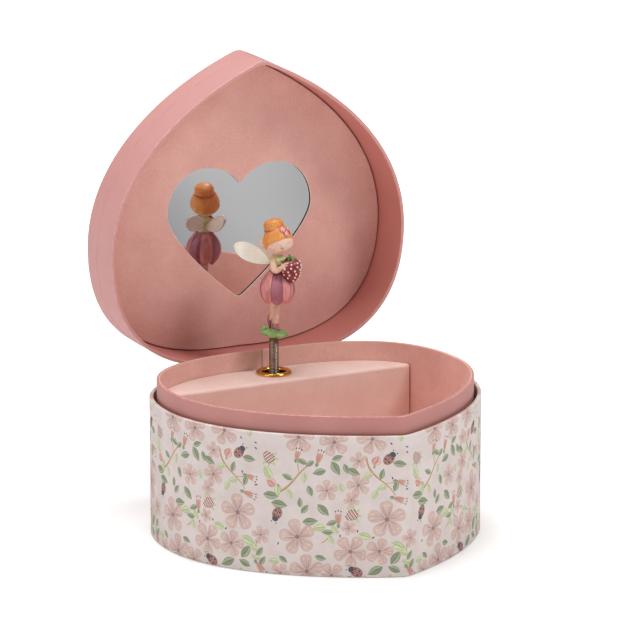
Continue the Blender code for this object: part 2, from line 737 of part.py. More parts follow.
def make_berry():
    centre = (0, SHAFT_Y - 13.0 * MM, DECK_TOP + 54.4 * MM)
    return ball("berry", (4.4 * MM, 4.2 * MM, 6.6 * MM), centre, BERRY_RED)


def make_wing(name, side):
    """A thin oval wing that leaves the upper back, slants up and away from the body."""
    length = 17.5 * MM
    steps = 20
    loop = []
    for step in range(steps):
        angle = math.tau * step / steps
        along = length * (1 - math.cos(angle)) / 2
        width = (2.2 + 2.6 * along / length) * MM
        loop.append((along, width * math.sin(angle)))
    mesh = plate_mesh([loop], -0.6 * MM, 0.6 * MM)
    root = Vector((1.6 * side * MM, SHAFT_Y + 2.0 * MM, DECK_TOP + 57.4 * MM))
    spread = math.radians(51.4)
    rise = math.radians(26.0)
    heading = Matrix.Rotation(spread if side > 0 else math.pi - spread, 4, "Z")
    mesh.transform(heading @ Matrix.Rotation(-rise, 4, "Y") @ Matrix.Rotation(math.radians(70), 4, "X"))
    return add_part(name, mesh, WING_CREAM, root)


def make_dancer():
    fold_axis = new_axis("dancer_fold_axis", PIVOT)
    spin_axis = new_axis("dancer_spin_axis", (0, 0, 0), fold_axis)
    hang(make_spring(), fold_axis, PIVOT)
    figure = [make_leaf(), make_body(), make_head(), make_berry()]
    figure += [make_wing("wing_right", -1), make_wing("wing_left", 1)]
    hang(figure, spin_axis, PIVOT)
    spin_axis.rotation_euler.z = FIGURE_TURN


clear_scene()
PARTS = new_collection("ballerina_jewellery_box")
CUTTERS = new_collection("cutters")

PRINTED_PAPER = finish("printed_paper", (0.74, 0.67, 0.65), 0.55)
PINK_PAPER = finish("pink_paper", (0.60, 0.28, 0.26), 0.45)
PINK_CLOTH = finish("pink_cloth", (0.50, 0.22, 0.20), 0.85)
GREY_BOARD = finish("grey_board", (0.45, 0.40, 0.36), 0.90)
SUEDE = finish("suede_paper", (0.62, 0.33, 0.28), 0.95)
MIRROR = finish("mirror_sheet", (0.80, 0.80, 0.80), 0.04, 1.0)
GOLD = finish("gold_plate", (0.80, 0.52, 0.16), 0.22, 1.0)
BRASS = finish("brass", (0.72, 0.53, 0.25), 0.30, 1.0)
STEEL = finish("steel", (0.42, 0.38, 0.35), 0.30, 1.0)
ZINC = finish("cast_zinc", (0.52, 0.52, 0.53), 0.50, 1.0)
NYLON = finish("nylon", (0.75, 0.74, 0.70), 0.50)
SKIN = finish("painted_skin", (0.72, 0.45, 0.33), 0.45)
HAIR = finish("painted_hair", (0.76, 0.36, 0.10), 0.45)
SKIRT_PINK = finish("painted_skirt", (0.60, 0.22, 0.21), 0.45)
SHOE_PLUM = finish("painted_plum", (0.24, 0.07, 0.10), 0.45)
LEAF_GREEN = finish("painted_leaf", (0.28, 0.42, 0.16), 0.45)
BERRY_RED = finish("painted_berry", (0.36, 0.07, 0.06), 0.40)
WING_CREAM = finish("painted_wing", (0.83, 0.74, 0.60), 0.50)

make_box()
make_lid()
make_bedplate()
make_screws()
make_comb()
make_spring_housing()
make_drive()
make_drum()
make_governor()
make_spindle()
make_dancer()
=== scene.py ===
"""Looks of a heart-shaped ballerina jewellery box, built around its CAD frame.

Units are metres and +Z is up. The heart's point faces -Y; the lid is hinged at +Y and modelled open.
"""
import json
import math
import random

import bmesh
import bpy
from mathutils import Matrix, Vector


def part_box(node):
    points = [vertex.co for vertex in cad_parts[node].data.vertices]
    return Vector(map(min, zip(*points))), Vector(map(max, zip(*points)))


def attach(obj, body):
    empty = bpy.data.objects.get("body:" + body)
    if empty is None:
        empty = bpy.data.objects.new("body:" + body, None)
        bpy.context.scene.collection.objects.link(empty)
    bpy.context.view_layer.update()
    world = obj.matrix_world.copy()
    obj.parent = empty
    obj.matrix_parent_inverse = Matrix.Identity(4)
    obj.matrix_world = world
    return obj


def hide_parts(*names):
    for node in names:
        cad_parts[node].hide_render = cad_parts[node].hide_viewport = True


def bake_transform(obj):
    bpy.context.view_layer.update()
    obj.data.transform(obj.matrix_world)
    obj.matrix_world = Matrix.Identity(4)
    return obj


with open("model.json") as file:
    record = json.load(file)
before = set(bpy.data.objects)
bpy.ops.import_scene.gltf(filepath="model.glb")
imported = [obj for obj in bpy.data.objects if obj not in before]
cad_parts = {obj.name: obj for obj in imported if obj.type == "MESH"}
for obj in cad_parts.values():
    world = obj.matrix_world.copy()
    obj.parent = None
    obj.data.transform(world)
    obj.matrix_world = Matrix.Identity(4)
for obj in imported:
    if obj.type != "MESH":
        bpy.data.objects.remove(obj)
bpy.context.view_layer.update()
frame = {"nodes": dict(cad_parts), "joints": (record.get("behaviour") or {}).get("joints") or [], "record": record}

MM = 0.001
TURN = math.tau

# Sizes taken from the frame
WALL_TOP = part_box("outer_wall")[1].z
HALF_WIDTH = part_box("outer_wall")[1].x
NECK_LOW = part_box("neck_liner")[0].z
NECK_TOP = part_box("neck_liner")[1].z
DECK_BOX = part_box("mechanism_deck")
DECK_TOP = DECK_BOX[1].z
SHAFT = Vector((0, (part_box("grommet")[0].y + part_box("grommet")[1].y) / 2, 0))
JOINTS = {joint["name"]: joint for joint in frame["joints"]}
HINGE = Vector(JOINTS["lid_hinge"]["pos_m"])
FOLD = Vector(JOINTS["dancer_fold"]["pos_m"])
OPEN_ANGLE = math.radians(JOINTS["lid_hinge"]["range_deg"][1])

# The outline that the walls follow
BACK_Y = 78.3 * MM
WIDEST_Y = 16.0 * MM
WALL_THICKNESS = 2.0 * MM
NECK_INSET = 3.6 * MM
NECK_INNER = 5.2 * MM
HALF_STEPS = 129
FIGURE_TURN = math.radians(24.0)
HEAD_TURN = math.radians(-35.0)


# Colours and node formulas

def rgb(red, green, blue):
    """A linear colour from the usual 0 to 255 values."""
    channels = []
    for value in (red, green, blue):
        value /= 255
        channels.append(value / 12.92 if value <= 0.04045 else ((value + 0.055) / 1.055) ** 2.4)
    return (*channels, 1.0)


def plug(tree, slot, value):
    if isinstance(value, Shade):
        tree.links.new(value.socket, slot)
    else:
        slot.default_value = value


class Shade:
    """A value, vector or colour in a material; operators and methods add the nodes that combine it."""

    def __init__(self, tree, socket=None):
        self.tree = tree
        self.socket = socket

    def node(self, kind, values=None, output=0, **settings):
        node = self.tree.nodes.new(kind)
        for key, value in settings.items():
            setattr(node, key, value)
        for slot, value in (values or {}).items():
            plug(self.tree, node.inputs[slot], value)
        return Shade(self.tree, node.outputs[output])

    def math(self, operation, *others):
        return self.node("ShaderNodeMath", dict(enumerate((self, *others))), operation=operation)

    def vector(self, operation, *others, output=0):
        return self.node("ShaderNodeVectorMath", dict(enumerate((self, *others))), output, operation=operation)

    def __add__(self, other):
        return self.math("ADD", other)

    def __sub__(self, other):
        return self.math("SUBTRACT", other)

    def __mul__(self, other):
        return self.math("MULTIPLY", other)

    def __truediv__(self, other):
        return self.math("DIVIDE", other)

    __radd__ = __add__
    __rmul__ = __mul__

    def __rsub__(self, other):
        return self.node("ShaderNodeMath", {0: other, 1: self}, operation="SUBTRACT")

    def squared(self):
        return self * self

    def size(self):
        return self.math("ABSOLUTE")

    def step(self, start, end):
        """Rises smoothly from 0 at start to 1 at end; start may be the larger."""
        values = {"Value": self, "From Min": start, "From Max": end}
        return self.node("ShaderNodeMapRange", values, interpolation_type="SMOOTHSTEP")

    def ramp(self, low, high):
        """Runs in a straight line from low at 0 to high at 1."""
        return self.node("ShaderNodeMapRange", {"Value": self, "To Min": low, "To Max": high})

    def split(self):
        node = self.tree.nodes.new("ShaderNodeSeparateXYZ")
        plug(self.tree, node.inputs[0], self)
        return [Shade(self.tree, output) for output in node.outputs]

    def join(self, x, y, z):
        return self.node("ShaderNodeCombineXYZ", {0: x, 1: y, 2: z})

    def colour(self, first, second):
        """The first colour where this value is 0, the second where it is 1."""
        values = {0: self, 6: first, 7: second}
        return self.node("ShaderNodeMix", values, 2, data_type="RGBA", clamp_factor=True)

    def choose(self, first, second):
        """The first vector where this value is 0, the second where it is 1."""
        return self.node("ShaderNodeMix", {0: self, 4: first, 5: second}, 1, data_type="VECTOR")

    def noise(self, scale, detail=2.0, roughness=0.5):
        """Cloudy variation from 0 to 1 over this vector."""
        values = {"Vector": self, "Scale": scale, "Detail": detail, "Roughness": roughness}
        return self.node("ShaderNodeTexNoise", values)

    def cells(self, scale, output="Distance"):
        node = self.tree.nodes.new("ShaderNodeTexVoronoi")
        plug(self.tree, node.inputs["Vector"], self)
        node.inputs["Scale"].default_value = scale
        return Shade(self.tree, node.outputs[output])

    def stretch(self, x, y, z):
        return self.vector("MULTIPLY", (x, y, z))

    def place(self):
        """The point's place at rest, in metres."""
        return self.node("ShaderNodeTexCoord", output="Object")

    def sheet(self):
        """The piece's own flat coordinates."""
        return self.node("ShaderNodeTexCoord", output="UV")

    def stored(self, name):
        """A value stored on the mesh."""
        return self.node("ShaderNodeAttribute", output="Fac", attribute_name=name)

    def crevice(self, distance):
        """1 in the open and towards 0 in creases narrower than the distance."""
        return self.node("ShaderNodeAmbientOcclusion", {"Distance": distance}, "AO", samples=8)


def new_material(name):
    material = bpy.data.materials.new(name)
    material.use_nodes = True
    return material, Shade(material.node_tree)


def set_finish(material, colour, roughness, height=None, depth=0.0, **others):
    """Connects a material's colour, roughness and relief; depth is the relief's height in metres."""
    tree = material.node_tree
    shader = tree.nodes["Principled BSDF"]
    plug(tree, shader.inputs["Base Color"], colour)
    plug(tree, shader.inputs["Roughness"], roughness)
    if height is not None:
        relief = tree.nodes.new("ShaderNodeBump")
        relief.inputs["Distance"].default_value = depth
        plug(tree, relief.inputs["Height"], height)
        tree.links.new(relief.outputs[0], shader.inputs["Normal"])
    for name, value in others.items():
        plug(tree, shader.inputs[name.replace("_", " ")], value)
    return material


# Paper and board

def satin_paper(name, colour, light, edge):
    """Smooth coloured paper with a soft shine, a faint grain and slightly rubbed edges, lightened partly as painted
    highlight.
    """
    material, start = new_material(name)
    place = start.place()
    cloud = place.noise(28.0, 3.0)
    grain = place.noise(1900.0, 2.0, 0.6)
    base = cloud.step(0.3, 0.75).colour(rgb(*colour), rgb(*light))
    base = (grain.step(0.42, 0.75) * 0.25).colour(base, rgb(*light))
    # Rounded edges lightened in patches: partly rubbed wear, partly painted highlight.
    rubbed_edge_and_highlight = start.stored("edge") * place.noise(420.0, 3.0).step(0.35, 0.7) * 0.75
    base = rubbed_edge_and_highlight.colour(base, rgb(*edge))
    roughness = cloud.ramp(0.36, 0.50) + grain.ramp(-0.04, 0.06)
    height = grain + place.noise(160.0, 2.0) * 1.6
    return set_finish(material, base, roughness, height, 0.025 * MM, Coat_Weight=0.10, Coat_Roughness=0.35)


def suede_paper(name, colour, light, dark, seam=False):
    """Flocked paper: matt, finely speckled and softly cloudy, with a pale sheen at a slant."""
    material, start = new_material(name)
    place = start.place()
    cloud = place.noise(42.0, 4.0, 0.6)
    fleck = place.noise(1500.0, 3.0, 0.7)
    nap = place.noise(520.0, 2.0)
    base = cloud.step(0.32, 0.70).colour(rgb(*dark), rgb(*colour))
    base = (fleck.step(0.45, 0.72) * 0.55).colour(base, rgb(*light))
    base = (nap.step(0.55, 0.30) * 0.22).colour(base, rgb(*dark))
    height = fleck + nap
    if seam:
        x, y, z = place.split()
        line = (x + 1.2 * MM).size().step(0.7 * MM, 0.1 * MM) * y.step(0, 1 * MM)
        base = (line * 0.4).colour(base, rgb(122, 70, 64))
        height = height - line * 6.0
    return set_finish(material, base, 0.92, height, 0.05 * MM, Sheen_Weight=0.35, Sheen_Roughness=0.45,
                      Sheen_Tint=rgb(255, 225, 215))


def plain_board(name, colour, fleck_colour):
    """Unprinted board with fibres and flecks."""
    material, start = new_material(name)
    place = start.place()
    fibre = place.stretch(1.0, 1.0, 4.0).noise(700.0, 4.0, 0.7)
    flecks = place.noise(1300.0, 1.0).step(0.66, 0.74)
    base = fibre.colour(rgb(*colour), rgb(*[channel * 0.86 for channel in colour]))
    base = (flecks * 0.6).colour(base, rgb(*fleck_colour))
    return set_finish(material, base, 0.9, fibre, 0.04 * MM)


def woven_cloth(name, colour, dark):
    """Book cloth: a fine plain weave."""
    material, start = new_material(name)
    x, y, z = start.place().split()
    pitch = TURN / (0.42 * MM)
    along = (x * pitch).math("SINE")
    across = ((y - z) * pitch).math("SINE")
    weave = along * across
    base = weave.ramp(0.35, 0.75).colour(rgb(*dark), rgb(*colour))
    base = (start.place().noise(300.0) * 0.3).colour(base, rgb(*dark))
    return set_finish(material, base, 0.85, weave, 0.06 * MM, Sheen_Weight=0.3)


# The printed paper: flowers, leaves, sprigs, berries and ladybirds in a repeating tile

NOTHING = (1e-9, 1e-9, 1e-9)
FLOWER_SIZES = [9.4 - 0.36 * number for number in range(17)]


class Print:
    """Scattered shapes on a tile in millimetres that repeats sideways."""

    def __init__(self, width, height, seed):
        self.width = width
        self.height = height
        self.draw = random.Random(seed)
        self.taken = []
        self.stamps = {"flower": [], "veil": [], "leaf": [], "berry": [], "beetle": [], "twig": [], "branch": []}

    def distance(self, x, y, other_x, other_y):
        sideways = abs(x - other_x) % self.width
        return math.hypot(min(sideways, self.width - sideways), y - other_y)

    def is_free(self, x, y, radius, overlap):
        return all(
            self.distance(x, y, other_x, other_y) > (radius + other_radius) * overlap
            for other_x, other_y, other_radius in self.taken
        )

    def find(self, radius, overlap):
        """A free place for a shape of this radius, or None."""
        for attempt in range(900):
            x = self.draw.uniform(0, self.width)
            y = self.draw.uniform(-3, self.height + 3)
            if self.is_free(x, y, radius, overlap):
                return x, y
        return None

    def add(self, kind, x, y, length, width, angle, seed=0.0, clear=0.0):
        """Puts a shape on the tile, and again a tile's width away where it crosses an edge."""
        x %= self.width
        for copy in (-self.width, 0, self.width):
            reach = max(length, width)
            if -reach < x + copy < self.width + reach:
                self.stamps[kind].append((x + copy, y, length, width, angle, seed))
        if clear:
            self.taken.append((x, y, clear))

    def leaf(self, x, y, angle, length=3.4, tone=0.1, width=0.46):
        self.add("leaf", x, y, length, length * width, angle, tone, length * 0.72)

    def bud(self, x, y, angle, length=3.4):
        """A bell of three coral petals with a green calyx and tiny stamens."""
        heading = Vector((math.cos(angle), math.sin(angle)))
        side = Vector((-heading.y, heading.x))
        for turn, shift in ((-0.22, -0.60), (0.22, 0.60), (0.0, 0.0)):
            place = Vector((x, y)) + side * shift
            self.add("leaf", place.x, place.y, length, length * 0.27, angle + turn, 0.5)
        self.add("leaf", x - heading.x * length, y - heading.y * length, 1.4, 0.9, angle, 0.1)
        for shift in (-1.3, 0.0, 1.3):
            place = Vector((x, y)) + heading * (length + 1.0 - abs(shift) * 0.3) + side * shift
            self.add("leaf", place.x, place.y, 0.5, 0.3, angle, 0.7)
        self.taken.append((x, y, length * 0.9))


def design_print(width, height):
    """Lays out one tile: sprigs first, then single motifs, then flowers and leaves in the gaps."""
    tile = Print(width, height, 23)
    for x, y, turn, size in ((15, 49, -0.78, 14.0), (47, 51, 0.80, 11.5), (33, 12, 1.35, 6.0), (70, 24, -1.1, 6.5)):
        add_sprig(tile, x, y, turn, size)
    for x, y, angle in ((27, 60, 0.9), (60, 33, -0.6)):
        add_berry(tile, x, y, angle)
    for x, y, angle in ((42, 61, 2.3), (23, 32, -1.2), (58, 5, 0.5)):
        tile.add("beetle", x, y, 3.7, 3.0, angle, clear=4.2)
    for number, radius in enumerate(FLOWER_SIZES):
        found = tile.find(radius, 0.75)
        if found:
            kind = "veil" if number % 2 else "flower"
            tile.add(kind, *found, radius, radius, tile.draw.uniform(0, TURN), tile.draw.random(), radius)
    for number in range(30):
        found = tile.find(2.3, 0.80)
        if found:
            tone = 0.3 if number % 3 == 0 else 0.1
            tile.leaf(*found, tile.draw.uniform(0, TURN), tile.draw.uniform(2.5, 4.2), tone, 0.50)
    for number in range(9):
        found = tile.find(1.0, 0.9)
        if found:
            tile.add("leaf", *found, 0.85, 0.32, tile.draw.uniform(0, TURN), 0.7, 1.2)
    return tile


def add_sprig(tile, x, y, turn, size):
    """A curved twig with leaves either side and buds at its ends."""
    tile.add("twig", x, y, size, size, turn, 0.2, size * 0.35)

    def on_twig(share, offset):
        local = Vector((share, 0.24 * share ** 3 + 0.12 * share * share - 0.10 * share + offset)) * size
        cosine, sine = math.cos(turn), math.sin(turn)
        return x + cosine * local.x - sine * local.y, y + sine * local.x + cosine * local.y

    for number, (share, offset) in enumerate(((-0.72, 0.22), (-0.36, -0.20), (0.05, 0.22), (0.42, -0.22))):
        tone = 0.3 if number % 2 else 0.1
        lean = turn + (1.0 if offset > 0 else -1.0) + tile.draw.uniform(-0.3, 0.3)
        tile.leaf(*on_twig(share, offset * 1.1), lean, 2.9, tone)
    tile.bud(*on_twig(-1.22, 0.10), turn + math.pi - 0.5, 3.2)
    if size > 8:
        for share, lean, reach in ((-0.30, 2.3, 0.26),):
            x_foot, y_foot = on_twig(share, 0)
            cosine, sine = size * reach * math.cos(turn + lean), size * reach * math.sin(turn + lean)
            tile.add("branch", x_foot + cosine, y_foot + sine, size * reach, size * reach, turn + lean, 0.2)
            tile.bud(x_foot + cosine * 2.6, y_foot + sine * 2.6, turn + lean + 0.3, 2.6)
    if size > 8:
        place = on_twig(0.62, 0.42)
        tile.add("leaf", *place, 2.7, 2.3, turn + 1.3, 0.9, 2.6)
        tile.add("leaf", *on_twig(0.50, 0.22), 1.0, 0.5, turn + 1.2, 0.1)


def add_berry(tile, x, y, angle):
    tile.add("berry", x, y, 3.3, 2.7, angle, clear=3.6)
    for turn in (-1.35, -0.70, 0.0, 0.70, 1.35):
        heading = angle + math.pi + turn
        tile.leaf(x + 3.3 * math.cos(heading), y + 3.3 * math.sin(heading), heading, 2.0, 0.3, 0.40)


def nearest(start, point, stamps):
    """Local coordinates of the stamp that a point is nearest to, in units of its size, and that distance.

    Each stamp takes a vanishing share of the result so far, so that they are worked out one after another.
    """
    best = None
    for x, y, length, width, angle, seed in stamps:
        after = point if best is None else best.vector("MULTIPLY_ADD", NOTHING, point)
        values = {
            "Vector": after, "Location": (x, y, -0.01 * seed), "Rotation": (0, 0, angle),
            "Scale": (length, width, 1.0),
        }
        local = start.node("ShaderNodeMapping", values, vector_type="TEXTURE")
        reach = local.vector("LENGTH", output="Value")
        if best is None:
            best, least = local, reach
        else:
            best = reach.math("LESS_THAN", least).choose(best, local)
            least = least.math("MINIMUM", reach)
    return best, least


def paint_flowers(start, point, stamps, base):
    """Washy five-petalled flowers with veins, a darker heart and pale dots near the tips."""
    local, reach = nearest(start, point, stamps)
    x, y, seed = local.split()
    seed = seed * 100.0
    around = y.math("ARCTAN2", x) * (5 / TURN)
    side = around.math("WRAP", 0.5, -0.5) * (TURN / 5)
    petal = around - side
    along = reach * side.math("COSINE")
    across = reach * side.math("SINE")
    swell = ((along - 0.56) / 0.44).squared()
    ring = swell + (across / (along * 0.34 + 0.125)).squared()
    inside = ring.step(1.0, 0.93) * along.step(0.02, 0.06)
    streaks = start.join(side * 15.0, reach * 1.4, seed * 9.0 + petal).noise(1.0, 2.0, 0.6)
    wash = start.join(x, y, seed * 7.0).noise(1.9, 3.0, 0.6)
    petal_colour = wash.step(0.3, 0.7).colour(rgb(219, 188, 176), rgb(203, 163, 150))
    petal_colour = (streaks.step(0.47, 0.62) * reach.step(1.30, 0.45) * 0.90).colour(petal_colour, rgb(178, 126, 114))
    petal_colour = (ring.step(0.66, 0.95) * 0.60).colour(petal_colour, rgb(196, 150, 139))
    dots = (along - 0.74).squared() + (across.size() - 0.12).squared()
    petal_colour = (dots.step(0.0032, 0.0012) * 0.55).colour(petal_colour, rgb(244, 228, 222))
    strength = inside * wash.ramp(0.90, 0.50)
    painted = strength.colour(base, petal_colour)
    heart = reach.step(0.16, 0.07) * 0.8 + reach.step(0.66, 0.12) * streaks.step(0.44, 0.60) * 0.6
    return heart.math("MINIMUM", 0.85).colour(painted, rgb(140, 84, 80))


def paint_leaves(start, point, stamps, base):
    """Pointed leaves, bud petals, round buds and seeds, told apart by their seed value."""
    local, reach = nearest(start, point, stamps)
    x, y, seed = local.split()
    seed = seed * 100.0
    half = (1.0 - x.squared()) * (x * -0.22 + 1.0)
    side = y / half.math("MAXIMUM", 0.001)
    inside = side.size().step(1.0, 0.93) * x.size().step(1.0, 0.97)
    wash = start.join(x, y, seed * 31.0).noise(2.6, 2.0)
    fill = pick(start, seed, (142, 154, 122), (198, 206, 164), (214, 164, 148), (40, 34, 36), (222, 172, 160))
    shade = pick(start, seed, (104, 116, 88), (156, 168, 118), (178, 116, 102), (40, 34, 36), (190, 130, 118))
    pale = pick(start, seed, (182, 192, 160), (220, 226, 186), (236, 194, 174), (40, 34, 36), (240, 200, 188))
    stripe = (side * 7.0).math("SINE").step(0.2, 0.9)
    tone = (side.step(-0.1, 0.5) * 0.75).colour(fill, pale)
    tone = (wash.step(0.45, 0.75) * 0.6).colour(tone, shade)
    tone = (stripe * seed.math("GREATER_THAN", 0.4) * 0.6).colour(tone, shade)
    rib = side.size().step(0.16, 0.08) * x.step(0.95, 0.6)
    tone = (rib * 0.7).colour(tone, shade)
    tone = (side.size().step(0.70, 0.90) * 0.8).colour(tone, shade)
    return inside.colour(base, tone)


def pick(start, seed, *colours):
    """One of the colours by seed value, in even steps from 0 to 1."""
    node = start.tree.nodes.new("ShaderNodeValToRGB")
    plug(start.tree, node.inputs[0], seed)
    node.color_ramp.interpolation = "CONSTANT"
    elements = node.color_ramp.elements
    while len(elements) < len(colours):
        elements.new(1.0)
    for number, colour in enumerate(colours):
        elements[number].position = number / len(colours)
        elements[number].color = rgb(*colour)
    return Shade(start.tree, node.outputs[0])


def paint_twigs(start, point, stamps, base, thickness=1.0):
    """Thin golden-brown twigs that thicken towards their cut end."""
    local, reach = nearest(start, point, stamps)
    x, y, seed = local.split()
    line = (y - x * (x.squared() * 0.24 + x * 0.12 - 0.10)).size()
    width = x.step(-1.0, 1.0).ramp(0.014 * thickness, 0.034 * thickness)
    inside = (line - width).step(0.012, -0.006) * x.size().step(1.0, 0.98)
    tone = (line / width).step(0.2, 1.0).colour(rgb(206, 160, 96), rgb(158, 110, 62))
    return inside.colour(base, tone)


def paint_berries(start, point, stamps, base):
    local, reach = nearest(start, point, stamps)
    x, y, seed = local.split()
    half = (1.0 - x.squared()).math("MAXIMUM", 0.0).math("SQRT") * (1.0 - x * 0.22)
    side = (y / half.math("MAXIMUM", 0.001)).size()
    inside = side.step(1.0, 0.94) * x.size().step(1.0, 0.97)
    tone = (side.step(0.4, 1.0) * 0.7).colour(rgb(170, 116, 108), rgb(118, 70, 68))
    rows = (x * 8.0).math("SINE").size() * (y * 9.0 + x * 4.0).math("SINE").size()
    tone = rows.step(0.50, 0.66).colour(tone, rgb(246, 232, 224))
    return inside.colour(base, tone)


def paint_beetles(start, point, stamps, base):
    """Ladybirds: a spotted oval back, a dark head and two dots for feelers."""
    local, reach = nearest(start, point, stamps)
    x, y, seed = local.split()
    back = ((x + 0.12) / 0.86).squared() + (y / 0.80).squared()
    head = ((x - 0.66) / 0.36).squared() + (y / 0.52).squared()
    tone = (back.step(0.45, 1.0) * 0.75).colour(rgb(176, 128, 120), rgb(120, 80, 78))
    spots = ((x + 0.10).size() - 0.30).squared() + (y.size() - 0.36).squared()
    tone = spots.step(0.022, 0.014).colour(tone, rgb(58, 48, 52))
    tone = (y.size().step(0.06, 0.03) * 0.8).colour(tone, rgb(90, 62, 62))
    result = back.step(1.0, 0.93).colour(base, tone)
    result = head.step(1.0, 0.90).colour(result, rgb(84, 80, 90))
    feelers = (x - 1.16).squared() + (y.size() - 0.42).squared()
    return feelers.step(0.012, 0.007).colour(result, rgb(40, 36, 40))


def printed_paper(name, tile_width, height):
    material, start = new_material(name)
    place = start.place()
    x, y, z = start.sheet().split()
    point = start.join((x * 1000.0).math("WRAP", tile_width, 0.0), y * 1000.0, 0.0)
    tile = design_print(tile_width, height)
    wash = start.sheet().noise(90.0, 3.0, 0.6)
    base = wash.step(0.35, 0.70).colour(rgb(223, 210, 206), rgb(214, 200, 196))
    base = paint_flowers(start, point, tile.stamps["veil"], base)
    base = paint_flowers(start, point, tile.stamps["flower"], base)
    base = paint_twigs(start, point, tile.stamps["twig"], base)
    base = paint_twigs(start, point, tile.stamps["branch"], base, 2.2)
    base = paint_leaves(start, point, tile.stamps["leaf"], base)
    base = paint_berries(start, point, tile.stamps["berry"], base)
    base = paint_beetles(start, point, tile.stamps["beetle"], base)
    # Painted highlight: the rounded edges lightened in patches towards white, as if lit from above.
    edge = start.stored("edge") * place.noise(500.0, 2.0).step(0.25, 0.7) * 0.5
    base = edge.colour(base, rgb(245, 238, 232))
    grain = place.noise(1400.0, 2.0)
    return set_finish(material, base, grain.ramp(0.46, 0.60), grain, 0.012 * MM, Coat_Weight=0.08,
                      Coat_Roughness=0.4)


# Metals, mirror, paint

def metal(name, colour, dark, roughness, brushed=(1.0, 1.0, 1.0)):
    """Worn metal: fine directional scratches, faint tarnish and uneven shine."""
    material, start = new_material(name)
    place = start.place()
    scratch = place.stretch(*brushed).noise(900.0, 3.0, 0.7)
    tarnish = place.noise(130.0, 3.0)
    base = tarnish.step(0.40, 0.75).colour(rgb(*colour), rgb(*dark))
    shine = scratch.ramp(roughness * 0.7, roughness * 1.3) + tarnish.ramp(-0.03, 0.08)
    return set_finish(material, base, shine, scratch, 0.01 * MM, Metallic=1.0)


def mirror_sheet(name):
    """Silvered plastic sheet: a dim, slightly wavy reflection, with darker diagonal bands put in as painted
    reflection.
    """
    material, start = new_material(name)
    place = start.place()
    smear = place.noise(35.0, 3.0)
    x, y, z = place.split()
    # Painted reflection: darker diagonal bands in the mirror's colour.
    band = ((x * 46.0 + z * 30.0).math("SINE") * 0.5 + 0.5) * 0.8 + smear * 0.2
    base = band.colour(rgb(240, 239, 240), rgb(196, 196, 198))
    return set_finish(material, base, smear.ramp(0.012, 0.045), place.noise(14.0, 1.0), 0.02 * MM, Metallic=1.0)


def paint(name, light, dark, wash=1.6 * MM, roughness=0.38, streak=(1.0, 1.0, 1.0)):
    """Hand paint on cast resin: brush variation, and creases darkened by ambient occlusion, partly as a paint wash and
    partly as painted shade.
    """
    material, start = new_material(name)
    base, place = painted_base(start, light, dark, wash, streak)
    return set_finish(material, base, place.noise(300.0).ramp(roughness, roughness + 0.14), place.noise(800.0, 2.0),
                      0.02 * MM, Coat_Weight=0.15, Coat_Roughness=0.3)


def painted_base(start, light, dark, wash, streak):
    place = start.place()
    brush = place.stretch(*streak).noise(420.0, 3.0, 0.6)
    middle = [(a * 2 + b) / 3 for a, b in zip(light, dark)]
    base = brush.step(0.35, 0.7).colour(rgb(*light), rgb(*middle))
    # Creases narrower than the wash distance take the dark colour: partly paint wash, partly painted shade.
    wash_and_crease_shade = start.crevice(wash).step(0.95, 0.35)
    return (wash_and_crease_shade * 0.85).colour(base, rgb(*dark)), place


def plastic(name, colour):
    material, start = new_material(name)
    place = start.place()
    base = place.noise(500.0).colour(rgb(*colour), rgb(*[channel * 0.93 for channel in colour]))
    return set_finish(material, base, place.noise(900.0).ramp(0.40, 0.52), place.noise(1500.0), 0.01 * MM)


# Meshes

def new_mesh(name, vertices, faces, sheet=None, edge=None):
    """A mesh with flat coordinates per face corner and an edge value per vertex."""
    mesh = bpy.data.meshes.new(name)
    mesh.from_pydata(vertices, [], faces)
    if sheet:
        layer = mesh.uv_layers.new(name="sheet")
        flat = [value for corner in sheet for value in corner]
        layer.data.foreach_set("uv", flat)
    if edge:
        attribute = mesh.attributes.new("edge", "FLOAT", "POINT")
        attribute.data.foreach_set("value", edge)
    return mesh


def tidy(mesh, angle=38.0):
    """Welds loose seams, turns faces outward and smooths all but the sharp edges."""
    work = bmesh.new()
    work.from_mesh(mesh)
    bmesh.ops.remove_doubles(work, verts=work.verts, dist=0.0005 * MM)
    bmesh.ops.recalc_face_normals(work, faces=work.faces)
    for face in work.faces:
        face.smooth = True
    for edge in work.edges:
        edge.smooth = edge.smooth and (not edge.is_manifold or edge.calc_face_angle(0.0) < math.radians(angle))
    work.to_mesh(mesh)
    work.free()
    return mesh


def add(name, mesh, materials, body, slot, replaces=(), angle=38.0, keep_normals=False):
    """A piece that rides on a body, wears the given materials and stands for CAD nodes; the slot is not used."""
    for material in materials:
        mesh.materials.append(material)
    if not keep_normals:
        tidy(mesh, angle)
    piece = bpy.data.objects.new(name, mesh)
    bpy.context.scene.collection.objects.link(piece)
    if body:
        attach(piece, body)
    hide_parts(*replaces)
    return piece


def grid_faces(rows, columns, wrap_rows=False, wrap_columns=False):
    """Faces of a grid of vertices, row by row, and where each corner lies in steps of row and column."""
    faces = []
    corners = []
    for row in range(rows if wrap_rows else rows - 1):
        for column in range(columns if wrap_columns else columns - 1):
            square = ((row, column), (row, column + 1), (row + 1, column + 1), (row + 1, column))
            faces.append([(r % rows) * columns + c % columns for r, c in square])
            corners.extend(square)
    return faces, corners


def loft(name, sections, wrap_sections=False, caps=True):
    """A skin over closed loops of points, with its ends capped; flat coordinates run 0 to 1 both ways."""
    rows = len(sections)
    columns = len(sections[0])
    vertices = [point for section in sections for point in section]
    faces, corners = grid_faces(rows, columns, wrap_sections, True)
    if caps and not wrap_sections:
        for row in (0, rows - 1):
            faces.append([row * columns + column for column in range(columns)])
            corners.extend((row, column) for column in range(columns))
    sheet = [(column / columns, row / (rows - 1)) for row, column in corners]
    return new_mesh(name, vertices, faces, sheet)


